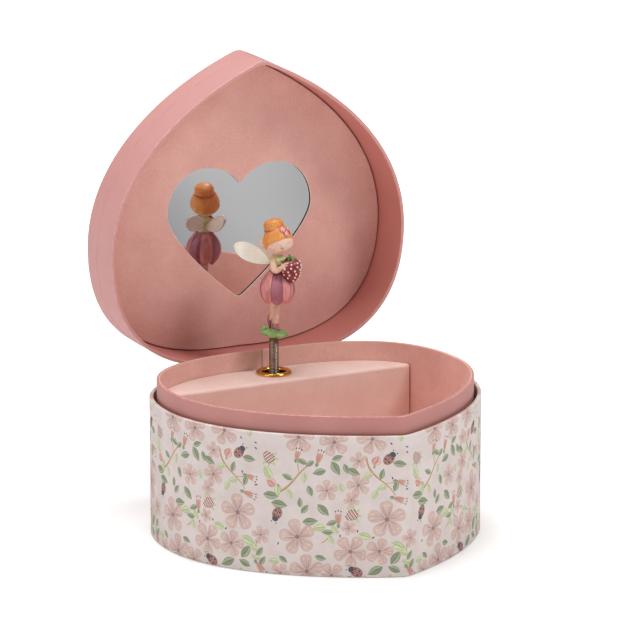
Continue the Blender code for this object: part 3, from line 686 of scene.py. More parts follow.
def turned(name, profile, steps=48, closed=False):
    """A solid of revolution about Z from (radius, z) points."""
    sections = []
    for radius, z in profile:
        radius = max(radius, 0.00001)
        sections.append([
            Vector((radius * math.cos(TURN * i / steps), radius * math.sin(TURN * i / steps), z))
            for i in range(steps)
        ])
    return loft(name, sections, closed)


def smooth_path(points, steps):
    """A Catmull-Rom curve through points, which may hold extra values such as a radius."""
    padded = [points[0], *points, points[-1]]
    result = []
    for a, b, c, d in zip(padded, padded[1:], padded[2:], padded[3:]):
        for step in range(steps):
            t = step / steps
            result.append(tuple(
                0.5 * (2 * q + (r - p) * t + (2 * p - 5 * q + 4 * r - s) * t * t + (3 * q - p - 3 * r + s) * t ** 3)
                for p, q, r, s in zip(a, b, c, d)
            ))
    result.append(tuple(points[-1]))
    return result


def limb(name, points, steps=8, sides=16, flat=1.0):
    """A round limb through (x, y, z, radius) points with rounded ends."""
    path = smooth_path(points, steps)
    first, last = path[0], path[-1]
    sections = []
    side = None
    count = len(path)
    for number, (x, y, z, radius) in enumerate(path):
        ahead = Vector(path[min(number + 1, count - 1)][:3]) - Vector(path[max(number - 1, 0)][:3])
        ahead.normalize()
        if side is None:
            side = ahead.orthogonal().normalized()
        side = (side - ahead * side.dot(ahead)).normalized()
        other = ahead.cross(side)
        for shift, shrink in end_rounding(number, count):
            centre = Vector((x, y, z)) + ahead * shift * radius
            sections.append([
                centre + (side * math.cos(TURN * i / sides) + other * flat * math.sin(TURN * i / sides))
                * radius * shrink for i in range(sides)
            ])
    return loft(name, sections)


def end_rounding(number, count):
    """Shifts along a limb and shrinks of its radius that round off its first and last section."""
    arc = [math.radians(angle) for angle in (4, 25, 50, 72)]
    if number == 0:
        return [(-math.cos(angle), math.sin(angle)) for angle in arc] + [(0.0, 1.0)]
    if number == count - 1:
        return [(0.0, 1.0)] + [(math.cos(angle), math.sin(angle)) for angle in reversed(arc)]
    return [(0.0, 1.0)]


def ball(name, radii, centre=(0, 0, 0), segments=32, rings=20, shape=None):
    """An egg whose points may be moved by shape(direction), which gives a factor on the radius."""
    sections = []
    for ring_number in range(rings + 1):
        polar = math.pi * min(max(ring_number / rings, 0.002), 0.998)
        section = []
        for segment in range(segments):
            turn = TURN * segment / segments
            way = Vector((math.sin(polar) * math.cos(turn), math.sin(polar) * math.sin(turn), math.cos(polar)))
            factor = shape(way) if shape else 1.0
            section.append(Vector(centre) + Vector([w * r * factor for w, r in zip(way, radii)]))
        sections.append(section)
    return loft(name, sections)


def merge(name, meshes):
    """One mesh from several, each with its own materials left out."""
    work = bmesh.new()
    for mesh in meshes:
        work.from_mesh(mesh)
    result = bpy.data.meshes.new(name)
    work.to_mesh(result)
    work.free()
    return result


def filled(name, loops, low, high, bevel):
    """A flat plate with rounded edges whose outline and holes are closed loops of (x, y) points."""
    curve = bpy.data.curves.new(name, "CURVE")
    curve.dimensions = "2D"
    curve.fill_mode = "BOTH"
    curve.extrude = (high - low) / 2 - bevel
    curve.bevel_depth = bevel
    curve.bevel_resolution = 3
    curve.offset = -bevel
    for loop in loops:
        spline = curve.splines.new("POLY")
        spline.points.add(len(loop) - 1)
        for point, (x, y) in zip(spline.points, loop):
            point.co = (x, y, 0, 1)
        spline.use_cyclic_u = True
    guide = bpy.data.objects.new(name, curve)
    bpy.context.scene.collection.objects.link(guide)
    mesh = evaluated_copy(guide)
    bpy.data.objects.remove(guide, do_unlink=True)
    mesh.transform(Matrix.Translation((0, 0, (low + high) / 2)))
    return rimmed(mesh)


def rimmed(mesh):
    """Parts the flat faces of a level plate from its rounded edges, so that they shade as truly flat."""
    work = bmesh.new()
    work.from_mesh(mesh)
    bmesh.ops.remove_doubles(work, verts=work.verts, dist=0.0005 * MM)
    for edge in work.edges:
        level = {abs(face.normal.z) > 0.9999 for face in edge.link_faces}
        edge.smooth = len(level) < 2
    work.to_mesh(mesh)
    work.free()
    return mesh


def evaluated_copy(thing):
    bpy.context.view_layer.update()
    return bpy.data.meshes.new_from_object(thing.evaluated_get(bpy.context.evaluated_depsgraph_get()))


def bored(mesh, radius, low, high, placing):
    """The mesh with a round hole cut through it along the placed Z axis."""
    things = []
    for name, data in (("bored", mesh), ("drill", turned("drill", [(0, low), (radius, low), (radius, high), (0, high)]))):
        tidy(data)
        thing = bpy.data.objects.new(name, data)
        bpy.context.scene.collection.objects.link(thing)
        things.append(thing)
    part, drill = things
    drill.matrix_world = placing
    cut = part.modifiers.new("Bore", "BOOLEAN")
    cut.operation = "DIFFERENCE"
    cut.solver = "EXACT"
    cut.object = drill
    result = evaluated_copy(part)
    for thing in things:
        bpy.data.objects.remove(thing, do_unlink=True)
    return result


# The outline and the shells that follow it

def bezier(curve, t):
    """The point and the unit direction at t along a cubic Bezier curve."""
    a, b, c, d = (Vector(point) for point in curve)
    point = a * (1 - t) ** 3 + b * 3 * t * (1 - t) ** 2 + c * 3 * t * t * (1 - t) + d * t ** 3
    slope = (b - a) * (1 - t) ** 2 + (c - b) * 2 * t * (1 - t) + (d - c) * t * t
    return point, slope.normalized()


def half_outline(inset):
    """Right half of the box's outline moved inward, from the middle of the back to the front point."""
    side = HALF_WIDTH
    back_curve = ((0, BACK_Y), (13.5 * MM, BACK_Y), (side, 85.2 * MM), (side, WIDEST_Y))
    front_curve = ((side, WIDEST_Y), (side, -30.2 * MM), (40.3 * MM, 15.8 * MM - BACK_Y), (0, -BACK_Y))
    points = []
    for curve in (back_curve, front_curve):
        for step in range(61):
            place, along = bezier(curve, step / 61)
            points.append(place + inset * Vector((along.y, -along.x)))
    return resampled(rounded_point(points), HALF_STEPS)


def rounded_point(points):
    """Replaces the last stretch towards the front point by a parabola that is level at x = 0."""
    reach = 3.0 * MM
    kept = [point for point in points if point.y > 0 or point.x > reach]
    following = points[len(kept)] if len(kept) < len(points) else points[-1]
    last = kept[-1]
    before = kept[-2]
    slope = (before.y - last.y) / (before.x - last.x)
    start = last.y + slope * (reach - last.x)
    for number in range(9):
        share = 1 - number / 8
        kept.append(Vector((reach * share, start - slope * reach / 2 * (1 - share ** 2))))
    return kept


def resampled(points, count):
    """The same path with its points evenly spaced."""
    lengths = [0.0]
    for first, second in zip(points, points[1:]):
        lengths.append(lengths[-1] + (second - first).length)
    result = []
    index = 0
    for step in range(count):
        target = lengths[-1] * step / (count - 1)
        while index < len(points) - 2 and lengths[index + 1] < target:
            index += 1
        span = max(lengths[index + 1] - lengths[index], 1e-9)
        result.append(points[index].lerp(points[index + 1], (target - lengths[index]) / span))
    return result


def ring(inset):
    """The whole outline moved inward, from the middle of the back round past +X."""
    half = half_outline(inset)
    return half + [Vector((-point.x, point.y)) for point in reversed(half[1:-1])]


def behind(loop, edge):
    """The part of a closed loop with y above an edge."""
    kept = []
    for first, second in zip(loop, loop[1:] + loop[:1]):
        if first.y >= edge:
            kept.append(first)
        if (first.y >= edge) != (second.y >= edge):
            kept.append(first.lerp(second, (edge - first.y) / (second.y - first.y)))
    return kept


def rounded(corners, radius, steps=4):
    """A closed section with rounded corners; each point is (inset, z, edge), edge being 1 on a corner."""
    section = []
    for number, corner in enumerate(corners):
        corner = Vector(corner)
        before = Vector(corners[number - 1]) - corner
        after = Vector(corners[(number + 1) % len(corners)]) - corner
        start = corner + before.normalized() * radius
        end = corner + after.normalized() * radius
        for step in range(steps + 1):
            t = step / steps
            point = start * (1 - t) ** 2 + corner * 2 * t * (1 - t) + end * t * t
            section.append((point.x, point.y, math.sin(math.pi * t)))
    return section


def swept(name, section, choose, caps=False):
    """A shell whose section runs round the outline; choose(inset, z) gives each stretch's material number."""
    rings = [ring(inset) for inset, z, edge in section]
    columns = len(rings[0])
    rows = len(section)
    vertices = [(point.x, point.y, z) for path, (inset, z, edge) in zip(rings, section) for point in path]
    faces, corners = grid_faces(rows, columns, not caps, True)
    outer = ring(0.0)
    around = [0.0]
    for first, second in zip(outer, outer[1:] + outer[:1]):
        around.append(around[-1] + (second - first).length)
    up = [0.0]
    for first, second in zip(section, section[1:] + section[:1]):
        up.append(up[-1] + math.hypot(second[0] - first[0], second[1] - first[1]))
    numbers = []
    for face in range(len(faces)):
        row = face // columns
        (inset, z, edge), (next_inset, next_z, next_edge) = section[row], section[(row + 1) % rows]
        numbers.append(choose((inset + next_inset) / 2, (z + next_z) / 2))
    sheet = [(around[column], up[row]) for row, column in corners]
    if caps:
        for row in (0, rows - 1):
            faces.append([row * columns + column for column in range(columns)])
            sheet.extend((rings[row][column].x, rings[row][column].y) for column in range(columns))
            numbers.append(choose(section[row][0], section[row][1]))
    edges = [edge for inset, z, edge in section for point in range(columns)]
    mesh = new_mesh(name, vertices, faces, sheet, edges)
    mesh.polygons.foreach_set("material_index", numbers)
    return mesh


def window_loop(steps=56):
    """The heart window in the lid's lining, with the lid shut; its point is towards the hinge."""
    lobe = ((0, -9.4), (5.0, -15.6), (11.5, -19.2), (19.7, -19.2))
    side = ((19.7, -19.2), (31.2, -19.2), (40.4, -9.5), (40.4, 3.0))
    flank = ((40.4, 3.0), (40.4, 16.0), (12.5, 40.9), (0, 50.2))
    half = [bezier(curve, step / steps)[0] * MM for curve in (lobe, side, flank) for step in range(steps)]
    half.append(Vector((0, 50.2)) * MM)
    loop = half + [Vector((-point.x, point.y)) for point in reversed(half[1:-1])]
    for turn in range(7):
        blunt = [(loop[i - 1] + loop[i] * 2 + loop[(i + 1) % len(loop)]) / 4 for i in range(len(loop))]
        loop = [new if abs(old.x) < 4 * MM else old for old, new in zip(loop, blunt)]
    return loop


def board_section(inset, low, high, radius):
    """An open section for a board with rounded edges, from its underside to its top."""
    corners = ((inset + 3.0 * MM, low), (inset, low), (inset, high), (inset + 3.0 * MM, high))
    section = rounded(corners, radius)
    steps = len(section) // 4
    return [(inset + 3.0 * MM, low, 0.0), *section[steps:3 * steps], (inset + 3.0 * MM, high, 0.0)]


# The box

def make_box():
    corners = ((WALL_THICKNESS, 0), (0, 0), (0, WALL_TOP), (WALL_THICKNESS, WALL_TOP))
    section = rounded(corners, 0.45 * MM)
    wall = swept("outer_wall_paper", section, lambda inset, z: 0 if inset < 1.7 * MM and z > 0.2 * MM else 1)
    add("outer_wall_paper", wall, (PRINT, BOARD), "base", "printed_paper", ["outer_wall"])
    section = board_section(WALL_THICKNESS + 0.3 * MM, 0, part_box("base_board")[1].z, 0.3 * MM)
    base = swept("base_board_sheet", section, lambda inset, z: 0, caps=True)
    add("base_board_sheet", base, (BOARD,), "base", "grey_board", ["base_board"])
    corners = ((NECK_INNER, NECK_LOW), (NECK_INSET, NECK_LOW), (NECK_INSET, NECK_TOP), (NECK_INNER, NECK_TOP))
    section = rounded(corners, 0.55 * MM)
    neck = swept("neck_wall", section, lambda inset, z: 1 if inset > 4.75 * MM else 0)
    add("neck_wall", neck, (NECK_SATIN, SUEDE_SEAM), "base", "pink_paper", ["neck_liner"])
    low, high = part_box("storage_floor")
    section = board_section(NECK_INNER + 0.3 * MM, low.z, high.z, 0.4 * MM)
    floor = swept("storage_floor_card", section, lambda inset, z: 0, caps=True)
    add("storage_floor_card", floor, (SUEDE,), "base", "suede_paper", ["storage_floor"])


def make_deck():
    """The folded card over the movement: a shelf, a rounded fold and the panel below it."""
    low, high = DECK_BOX
    edge = low.y
    outline = [point for point in half_outline(NECK_INNER + 0.3 * MM) if edge + 1.0 * MM < point.y]
    rear = outline[0].y - 0.1 * MM
    rows = [(point.y, DECK_TOP, point.x) for point in outline if point.y < rear]
    side = outline[-1].x
    bend = 1.6 * MM
    for step in range(7):
        angle = math.radians(90) * step / 6
        y = edge + bend - bend * math.sin(angle)
        rows.append((y, DECK_TOP - bend + bend * math.cos(angle), side))
    for step in range(1, 9):
        rows.append((edge, DECK_TOP - bend - (DECK_TOP - bend - low.z) * step / 8, side))
    shelf = folded_card(rows, 2.0 * MM)
    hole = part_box("grommet_washer")
    radius = (hole[1].x - hole[0].x) / 2 - 1.4 * MM
    shelf = bored(shelf, radius, -1, 1, Matrix.Translation(SHAFT))
    # The deck card takes the paler suede copy, painted light for its up-facing top.
    add("mechanism_deck_card", shelf, (SUEDE_PAINTED_LIT,), "base", "suede_paper", ["mechanism_deck"])


def folded_card(rows, thickness, columns=41):
    """A card of even thickness along a path of (y, z, half width) rows."""
    sections = []
    for number, (y, z, half) in enumerate(rows):
        after = rows[min(number + 1, len(rows) - 1)]
        before = rows[max(number - 1, 0)]
        along = Vector((after[0] - before[0], after[1] - before[1])).normalized()
        inward = Vector((-along.y, along.x))
        if inward.y > 0:
            inward = -inward
        if inward.x < -0.5:
            inward = -inward
        across = [half * (2 * column / (columns - 1) - 1) for column in range(columns)]
        top = [Vector((x, y, z)) for x in across]
        under = [Vector((x, y + inward.x * thickness, z + inward.y * thickness)) for x in reversed(across)]
        sections.append(top + under)
    return loft("card", sections)


def make_grommet():
    """A domed gold ring with a rolled inner lip, seated on the deck."""
    low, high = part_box("grommet")
    outer = (high.x - low.x) / 2
    bore = outer - 3.0 * MM
    seat = DECK_TOP + 0.05 * MM
    profile = [(bore + 0.6 * MM, low.z), (bore, low.z + 0.4 * MM), (bore, seat + 0.5 * MM)]
    for step in range(13):
        angle = math.radians(180 - 180 * step / 12)
        middle = (bore + outer) / 2
        half = (outer - bore) / 2
        profile.append((middle + half * math.cos(angle), seat + 0.35 * MM + 1.35 * MM * math.sin(angle) ** 0.8))
    profile += [(outer, seat), (bore + 1.0 * MM, seat), (bore + 1.0 * MM, low.z)]
    mesh = turned("grommet_ring", profile, 64, closed=True)
    mesh.transform(Matrix.Translation(SHAFT))
    add("grommet_ring", mesh, (GOLD,), "base", "gold_plate", ["grommet"])


# The lid, made shut and then swung open

def opened(mesh):
    swing = Matrix.Translation(HINGE) @ Matrix.Rotation(-OPEN_ANGLE, 4, "X") @ Matrix.Translation(-HINGE)
    mesh.transform(swing)
    return mesh


def make_lid():
    low = HINGE.z + 0.15 * MM
    top = 99.2 * MM
    board_low = 97.2 * MM
    wrap = top - 11.5 * MM
    step = 0.14 * MM
    corners = ((WALL_THICKNESS, low), (step, low), (step, board_low), (WALL_THICKNESS, board_low))
    section = []
    for inset, z, edge in rounded(corners, 0.5 * MM):
        if inset < 0.3 * MM and z > wrap:
            if not section or section[-1][1] <= wrap:
                section += [(step, wrap, 0.0), (0.0, wrap + 0.06 * MM, 0.5), (0.0, wrap + 1.0 * MM, 0.0)]
                section.append((0.0, board_low, 0.0))
            continue
        section.append((inset, z, edge))
    # The inner faces take a deeper copy of the satin, painted for shade and pink bounce light.
    wall = swept("lid_side_wall", section, lambda inset, z: 1 if inset > 1.75 * MM else 0)
    add("lid_side_wall", opened(wall), (SATIN, INNER_SATIN_PAINTED_SHADE), "lid", "pink_paper", ["lid_wall"])
    corners = ((4.0 * MM, board_low), (0, board_low), (0, top), (4.0 * MM, top))
    section = [(4.0 * MM, board_low, 0.0), (0.0, board_low, 0.0)]
    section += rounded(corners, 0.7 * MM)[10:15]
    section.append((4.0 * MM, top, 0.0))
    board = swept("lid_top_sheet", section, lambda inset, z: 0, caps=True)
    add("lid_top_sheet", opened(board), (SATIN,), "lid", "pink_paper", ["lid_top_board"])
    lining_low = low + 24.2 * MM
    loops = [ring(WALL_THICKNESS + 0.5 * MM), window_loop()]
    lining = filled("lid_lining", [[tuple(point) for point in loop] for loop in loops], lining_low,
                    lining_low + 0.9 * MM, 0.38 * MM)
    mark_cut_edge(lining, lining_low)
    add("lid_lining", opened(lining), (SUEDE_LID, CREAM_EDGE, PAINTED_GAP_SHADOW), "lid", "suede_paper", ["lining_panel"])
    make_mirror(lining_low + 1.0 * MM, board_low - 0.1 * MM)


def mark_cut_edge(mesh, low):
    """The cream lip of the cut edge round the window, and behind it the core, dark with the painted shadow of the gap
    to the mirror.
    """
    for face in mesh.polygons:
        near = face.center.xy.length < 56 * MM and abs(face.center.x) < 42 * MM and face.center.y > -22 * MM
        depth = face.center.z - low
        if near and depth > 0.01 * MM and abs(face.normal.z) < 0.97:
            # Past the cream lip, the faces take the painted shadow of the gap behind the card.
            face.material_index = 1 if depth < 0.36 * MM else 2


def make_mirror(low, high):
    corners = ((-44, -25), (44, -25), (44, 53), (-44, 53))
    loop = []
    for number, corner in enumerate(corners):
        for step in range(6):
            angle = math.radians(90 * number + 180 + 90 * step / 5)
            centre = Vector(corner) - Vector((math.copysign(3, corner[0]), 3 if number > 1 else -3))
            loop.append(tuple((centre + 3 * Vector((math.cos(angle), math.sin(angle)))) * MM))
    mesh = filled("mirror_plate", [loop], low, high, 0.12 * MM)
    add("mirror_plate", opened(mesh), (MIRROR,), "lid", "mirror_sheet", ["mirror"])


def make_hinge_cloth():
    """A strip of book cloth glued to the box and to the lid, bent round the hinge line."""
    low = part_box("hinge_cloth_base")[0].z
    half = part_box("hinge_cloth_base")[1].x
    y = (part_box("hinge_cloth_base")[0].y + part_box("hinge_cloth_base")[1].y) / 2
    reach = 16.2 * MM
    sections = []
    count = 60
    for number in range(count + 1):
        z = low + (HINGE.z + reach - low) * number / count
        share = min(max((z - HINGE.z + 1.6 * MM) / (3.2 * MM), 0), 1)
        angle = -OPEN_ANGLE * share * share * (3 - 2 * share)
        swing = Matrix.Translation(HINGE) @ Matrix.Rotation(angle, 4, "X") @ Matrix.Translation(-HINGE)
        loop = []
        for step in range(24):
            turn = TURN * step / 24
            across = math.copysign(abs(math.cos(turn)) ** 0.35, math.cos(turn)) * half
            through = math.copysign(abs(math.sin(turn)) ** 0.6, math.sin(turn)) * 0.25 * MM
            loop.append(swing @ Vector((across, y + through, z)))
        sections.append(loop)
    mesh = loft("hinge_cloth", sections)
    cloth = add("hinge_cloth", mesh, (CLOTH,), None, "pink_cloth", ["hinge_cloth_base", "hinge_cloth_lid"], 60)
    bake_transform(cloth)


# Key, screws and the spring

def make_spring():
    """A close coil of nickel wire that carries the dancer."""
    low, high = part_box("dancer_spring")
    wire = 0.34 * MM
    radius = (high.x - low.x) / 2 - wire
    pitch = 0.72 * MM
    steps = 28
    turns = (high.z - low.z - 2 * wire) / pitch
    sections = []
    for number in range(int(turns * steps) + 1):
        angle = TURN * number / steps
        out = Vector((math.cos(angle), math.sin(angle), 0))
        centre = SHAFT + out * radius + Vector((0, 0, low.z + wire + pitch * number / steps))
        sections.append([
            centre + (out * math.cos(TURN * i / 8) + Vector((0, 0, math.sin(TURN * i / 8)))) * wire for i in range(8)
        ])
    mesh = loft("dancer_coil", sections)
    spring = add("dancer_coil", mesh, (NICKEL,), None, "steel", ["dancer_spring"], 80)
    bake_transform(spring)


def make_key():
    """A two-winged key on a turned stem."""
    low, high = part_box("winding_key")
    middle = (low.z + high.z) / 2
    thickness = 1.1 * MM
    loop = []
    for step in range(96):
        angle = TURN * step / 96
        waist = 0.62 + 0.38 * abs(math.cos(angle)) ** 1.5
        loop.append((high.x * math.cos(angle), high.y - 4.1 * MM + 4.1 * MM * waist * math.sin(angle)))
    holes = []
    for side in (-1, 1):
        holes.append([
            (side * 7.6 * MM + 2.1 * MM * math.cos(TURN * i / 32), high.y - 4.1 * MM + 1.7 * MM * math.sin(TURN * i / 32))
            for i in range(32)
        ])
    handle = filled("handle", [loop, *holes], middle - thickness, middle + thickness, 0.6 * MM)
    stem = [(0, low.y), (1.9, 0), (2.9, 0.4), (2.9, 1.6), (2.4, 2.0), (2.4, 8.6), (2.7, 9.2), (2.2, 11.0), (0, 12.0)]
    profile = [(radius * MM if number else 0, low.y + along * MM if number else low.y)
               for number, (radius, along) in enumerate(stem)]
    shank = turned("stem", profile, 40)
    shank.transform(Matrix.Translation((0, 0, middle)) @ Matrix.Rotation(math.radians(-90), 4, "X"))
    mesh = merge("key_handle", [handle, shank])
    add("key_handle", mesh, (STEEL,), "winder", "steel", ["winding_key"])


def make_screws():
    """Dome-headed screws with a round conical dip in the head."""
    for number in (1, 2, 3):
        node = f"mounting_screw_{number}"
        low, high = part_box(node)
        radius = (high.x - low.x) / 2
        head = high.y - 1.25 * MM
        profile = [(0, 0.2), (0.45, 1.0), (0.8, 1.0), (0.97, 0.72), (1.0, 0.35), (0.96, 0.0), (0.46, 0.0)]
        points = [(share * radius, rise * (high.y - head)) for share, rise in profile]
        points += [(0.46 * radius, low.y - head), (0, low.y - head)]
        mesh = turned("screw", points, 40)
        mesh.transform(Matrix.Translation(((low.x + high.x) / 2, head, (low.z + high.z) / 2))
                       @ Matrix.Rotation(math.radians(-90), 4, "X"))
        add(f"back_screw_{number}", mesh, (STEEL,), "base", "steel", [node])


# The dancer, in millimetres above the deck, facing -Y before she is turned on the shaft

FIGURE = Matrix.Translation(SHAFT + Vector((0, 0, DECK_TOP))) @ Matrix.Rotation(FIGURE_TURN, 4, "Z") @ Matrix.Scale(MM, 4)
HEAD_CENTRE = Vector((0, -3.0, 68.2))
HEAD = FIGURE @ Matrix.Translation(HEAD_CENTRE) @ Matrix.Rotation(HEAD_TURN, 4, "Z")
HAIR_AXIS = Vector((-0.18, 0.16, 0.97)).normalized()
SKIRT_Y = -2.4
HEM = 37.3
WAIST = 53.8


def add_figure(name, mesh, materials, slot, matrix=FIGURE, replaces=(), angle=38.0):
    mesh.transform(matrix)
    return add(name, mesh, materials, "figure", slot, replaces, angle)


def make_leaf():
    """The leaf under her feet: a thick drooping blade with veins, one rolled end and one pointed end."""
    sections = []
    count = 56
    roll = -0.56
    for number in range(count + 1):
        s = -1 + 2 * number / count
        half = 5.2 * max(1 - abs(s) ** 2.4, 0.0) ** 0.50 + 0.12
        thick = 1.55 * (1 - abs(s) ** 2.6) + 0.30
        along, rise = 7.5 * s, -0.9 * max(s, 0) ** 2
        if s < roll:
            curl = (roll - s) / (1 + roll) * math.radians(250)
            along = 7.5 * roll - 2.2 * math.sin(curl * 0.72)
            rise = 0.95 * (1 - math.cos(curl * 0.72))
            half = 4.6 * (1 - 0.60 * ((roll - s) / (1 + roll)) ** 1.5)
            thick = 1.45
        loop = []
        for step in range(40):
            angle = TURN * step / 40
            across = math.cos(angle)
            top = math.sin(angle)
            droop = -1.5 * across * across * (1 - s * s)
            vein = 0.0
            if top > 0:
                ribs = 0.17 * math.cos(across * 6 + abs(s) * 17) * (1 - across ** 4)
                vein = ribs - 0.30 * math.exp(-(across / 0.10) ** 2)
            wave = 0.25 * math.sin(s * 9) * across ** 4
            loop.append(Vector((along, across * half, rise + droop + wave + thick * top + vein)))
        sections.append(loop)
    mesh = loft("dancer_leaf", sections)
    placing = Matrix.Translation((0, 0, 21.6)) @ Matrix.Rotation(math.radians(-51), 4, "Z")
    mesh.transform(placing @ Matrix.Rotation(math.radians(4), 4, "Y"))
    socket = turned("socket", [(0, 18.7), (2.3, 18.7), (3.0, 19.4), (4.0, 20.6), (0, 21.4)], 32)
    leaf = merge("dancer_leaf", [mesh, socket])
    add_figure("dancer_leaf", leaf, (PAINT_LEAF,), "painted_leaf", replaces=["leaf_base"])


def skirt_radius(t):
    """Half width of the skirt from waist (0) to hem (1)."""
    return 3.0 + 5.1 * math.sin(math.pi * (0.02 + 0.80 * min(t, 1.05)) ** 0.92) ** 0.86


def make_skirt():
    """Eight long petals, pink over plum, that draw in a little towards the hem."""
    for first, name, material, slot, proud, width, end in (
        (1, "skirt_petals_plum", PAINT_PLUM, "painted_skirt", 0.0, 25.5, 1.04),
        (0, "skirt_petals_pink", PAINT_PINK, "painted_skirt", 0.35, 23.5, 1.00),
    ):
        petals = []
        for number in range(first, 8, 2):
            petals.append(petal(math.radians(45 * number - 8), math.radians(width), proud, end))
        add_figure(name, merge(name, petals), (material,), slot,
                   replaces=["dancer_body"] if first else ())
    lining = [(0, HEM + 4.0), (5.0, HEM + 3.6), (7.2, HEM + 8), (5.0, WAIST - 2), (3.2, WAIST + 0.2), (0, WAIST + 0.2)]
    mesh = turned("skirt_lining", [(radius, z) for radius, z in lining], 40)
    mesh.transform(Matrix.Translation((0, SKIRT_Y, 0)))
    add_figure("skirt_lining", mesh, (PAINT_PLUM,), "painted_skirt")


def petal(turn, half_angle, proud, end):
    """One petal: a thick strip of the skirt with a rounded lower end and a raised middle."""
    sections = []
    count = 34
    for number in range(count + 1):
        share = number / count
        t = 0.02 + (end - 0.02) * math.sin(share * math.pi / 2) ** 0.9
        tip = max(0.0, (t / end - 0.80) / 0.20)
        half = half_angle * math.sqrt(max(1 - tip ** 2.2, 0.0008))
        z = WAIST - 0.3 - (WAIST - 0.3 - HEM) * t
        radius = skirt_radius(t) + proud
        loop = []
        for step in range(17):
            u = -1 + step / 8
            bulge = 0.85 * (1 - u * u) * math.sin(math.pi * min(t, 1) * 0.8) - 0.12 * math.cos(u * 9.4)
            loop.append(point_round(turn + u * half, radius + bulge, z))
        for step in range(17):
            u = 1 - step / 8
            loop.append(point_round(turn + u * half, radius - 0.80, z + 0.1))
        sections.append(loop)
    return loft("petal", sections)


def point_round(angle, radius, z):
    return Vector((radius * math.cos(angle), SKIRT_Y + radius * math.sin(angle), z))


def make_torso():
    """The lime blouse with its scalloped collar, and the neck."""
    sections = []
    for rise, wide, deep in ((-1.2, 3.5, 3.1), (0, 3.4, 3.0), (2.0, 3.8, 3.3), (4.2, 4.2, 3.5),
                             (5.8, 4.1, 3.2), (6.9, 3.0, 2.6), (7.4, 1.9, 1.9)):
        sections.append([
            Vector((wide * math.cos(TURN * i / 40), SKIRT_Y + deep * math.sin(TURN * i / 40), WAIST + rise))
            for i in range(40)
        ])
    torso = loft("torso", sections)
    collar = []
    for rise, radius, scallop in ((7.5, 1.9, 0.0), (7.1, 2.8, 0.25), (6.2, 3.7, 0.5), (5.4, 4.15, 0.7), (5.7, 3.0, 0.2)):
        loop = []
        for i in range(72):
            angle = TURN * i / 72
            wave = scallop * (abs(math.cos(angle * 4)) - 0.5)
            loop.append(Vector(((radius + wave) * 1.02 * math.cos(angle),
                                SKIRT_Y + (radius + wave) * 0.88 * math.sin(angle), WAIST + rise - wave * 0.6)))
        collar.append(loop)
    blouse = merge("dancer_blouse", [torso, loft("collar", collar)])
    add_figure("dancer_blouse", blouse, (PAINT_LIME,), "painted_leaf")
    return limb("neck", [(0, SKIRT_Y, WAIST + 6.2, 1.7), (0, SKIRT_Y - 0.3, WAIST + 8.2, 1.6),
                         (0, SKIRT_Y - 0.6, WAIST + 10.0, 1.7)])


def make_limbs(neck):
    """Bare arms round the berry, and legs of which one is bent back at the knee."""
    parts = [neck]
    for side in (-1, 1):
        parts.append(limb("arm", [
            (3.5 * side, SKIRT_Y - 0.4, WAIST + 5.6, 1.35), (4.5 * side, SKIRT_Y - 1.0, WAIST + 3.4, 1.80),
            (4.9 * side, SKIRT_Y - 2.3, WAIST + 1.2, 1.75), (4.9 * side, SKIRT_Y - 4.4, WAIST + 1.3, 1.45),
            (4.6 * side, SKIRT_Y - 6.2, WAIST + 2.6, 1.15), (4.1 * side, SKIRT_Y - 7.2, WAIST + 3.3, 1.25),
        ], sides=20))
        for finger in range(4):
            lift = 1.5 - finger * 0.95
            parts.append(limb("finger", [
                (4.4 * side, SKIRT_Y - 6.9, WAIST + 3.2 + lift * 0.6, 0.50),
                (4.2 * side, SKIRT_Y - 8.3, WAIST + 3.4 + lift, 0.50),
                (3.5 * side, SKIRT_Y - 9.7, WAIST + 3.6 + lift * 1.15, 0.42),
            ], 4, 10))
    parts.append(limb("standing_leg", [
        (0.9, SKIRT_Y + 1.4, HEM + 6.0, 2.2), (0.8, -0.9, HEM - 1.0, 2.05), (0.6, -0.9, HEM - 5.6, 1.75),
        (0.5, -0.7, HEM - 8.6, 1.75), (0.4, -0.6, HEM - 12.6, 1.35),
    ], sides=20))
    parts.append(limb("raised_leg", [
        (-1.1, SKIRT_Y + 1.4, HEM + 6.0, 2.1), (-1.0, -0.6, HEM - 1.0, 1.9), (-0.9, -0.4, HEM - 4.8, 1.6),
        (-0.7, 0.5, HEM - 7.6, 1.45), (-0.7, 1.7, HEM - 9.2, 1.0),
    ], sides=20))
    add_figure("dancer_limbs", merge("dancer_limbs", parts), (PAINT_SKIN,), "painted_wing")
    shoes = [
        limb("shoe", [(0.4, -0.2, HEM - 13.2, 1.6), (0.4, -1.2, HEM - 13.8, 1.65), (0.5, -2.6, HEM - 14.3, 1.2)], 6, 20),
        limb("cuff", [(0.45, -0.6, HEM - 11.8, 1.60), (0.4, -0.5, HEM - 12.6, 1.72), (0.4, -0.4, HEM - 13.8, 1.75)], 4, 20),
        limb("raised_shoe", [(-0.7, 1.7, HEM - 7.2, 0.8), (-0.7, 2.2, HEM - 8.9, 1.10), (-0.7, 2.2, HEM - 11.4, 0.95),
                             (-0.7, 1.9, HEM - 13.2, 0.55)], 6, 20),
    ]
    add_figure("dancer_shoes", merge("dancer_shoes", shoes), (PAINT_PLUM,), "painted_skirt")


def berry_radius(t):
    """Half width of the berry from its top (0) to its tip (1)."""
    return 5.15 * math.sin(math.pi * min(t * 0.97 + 0.03, 1.0) ** 0.80) ** 0.50 * (1.04 - 0.20 * t)


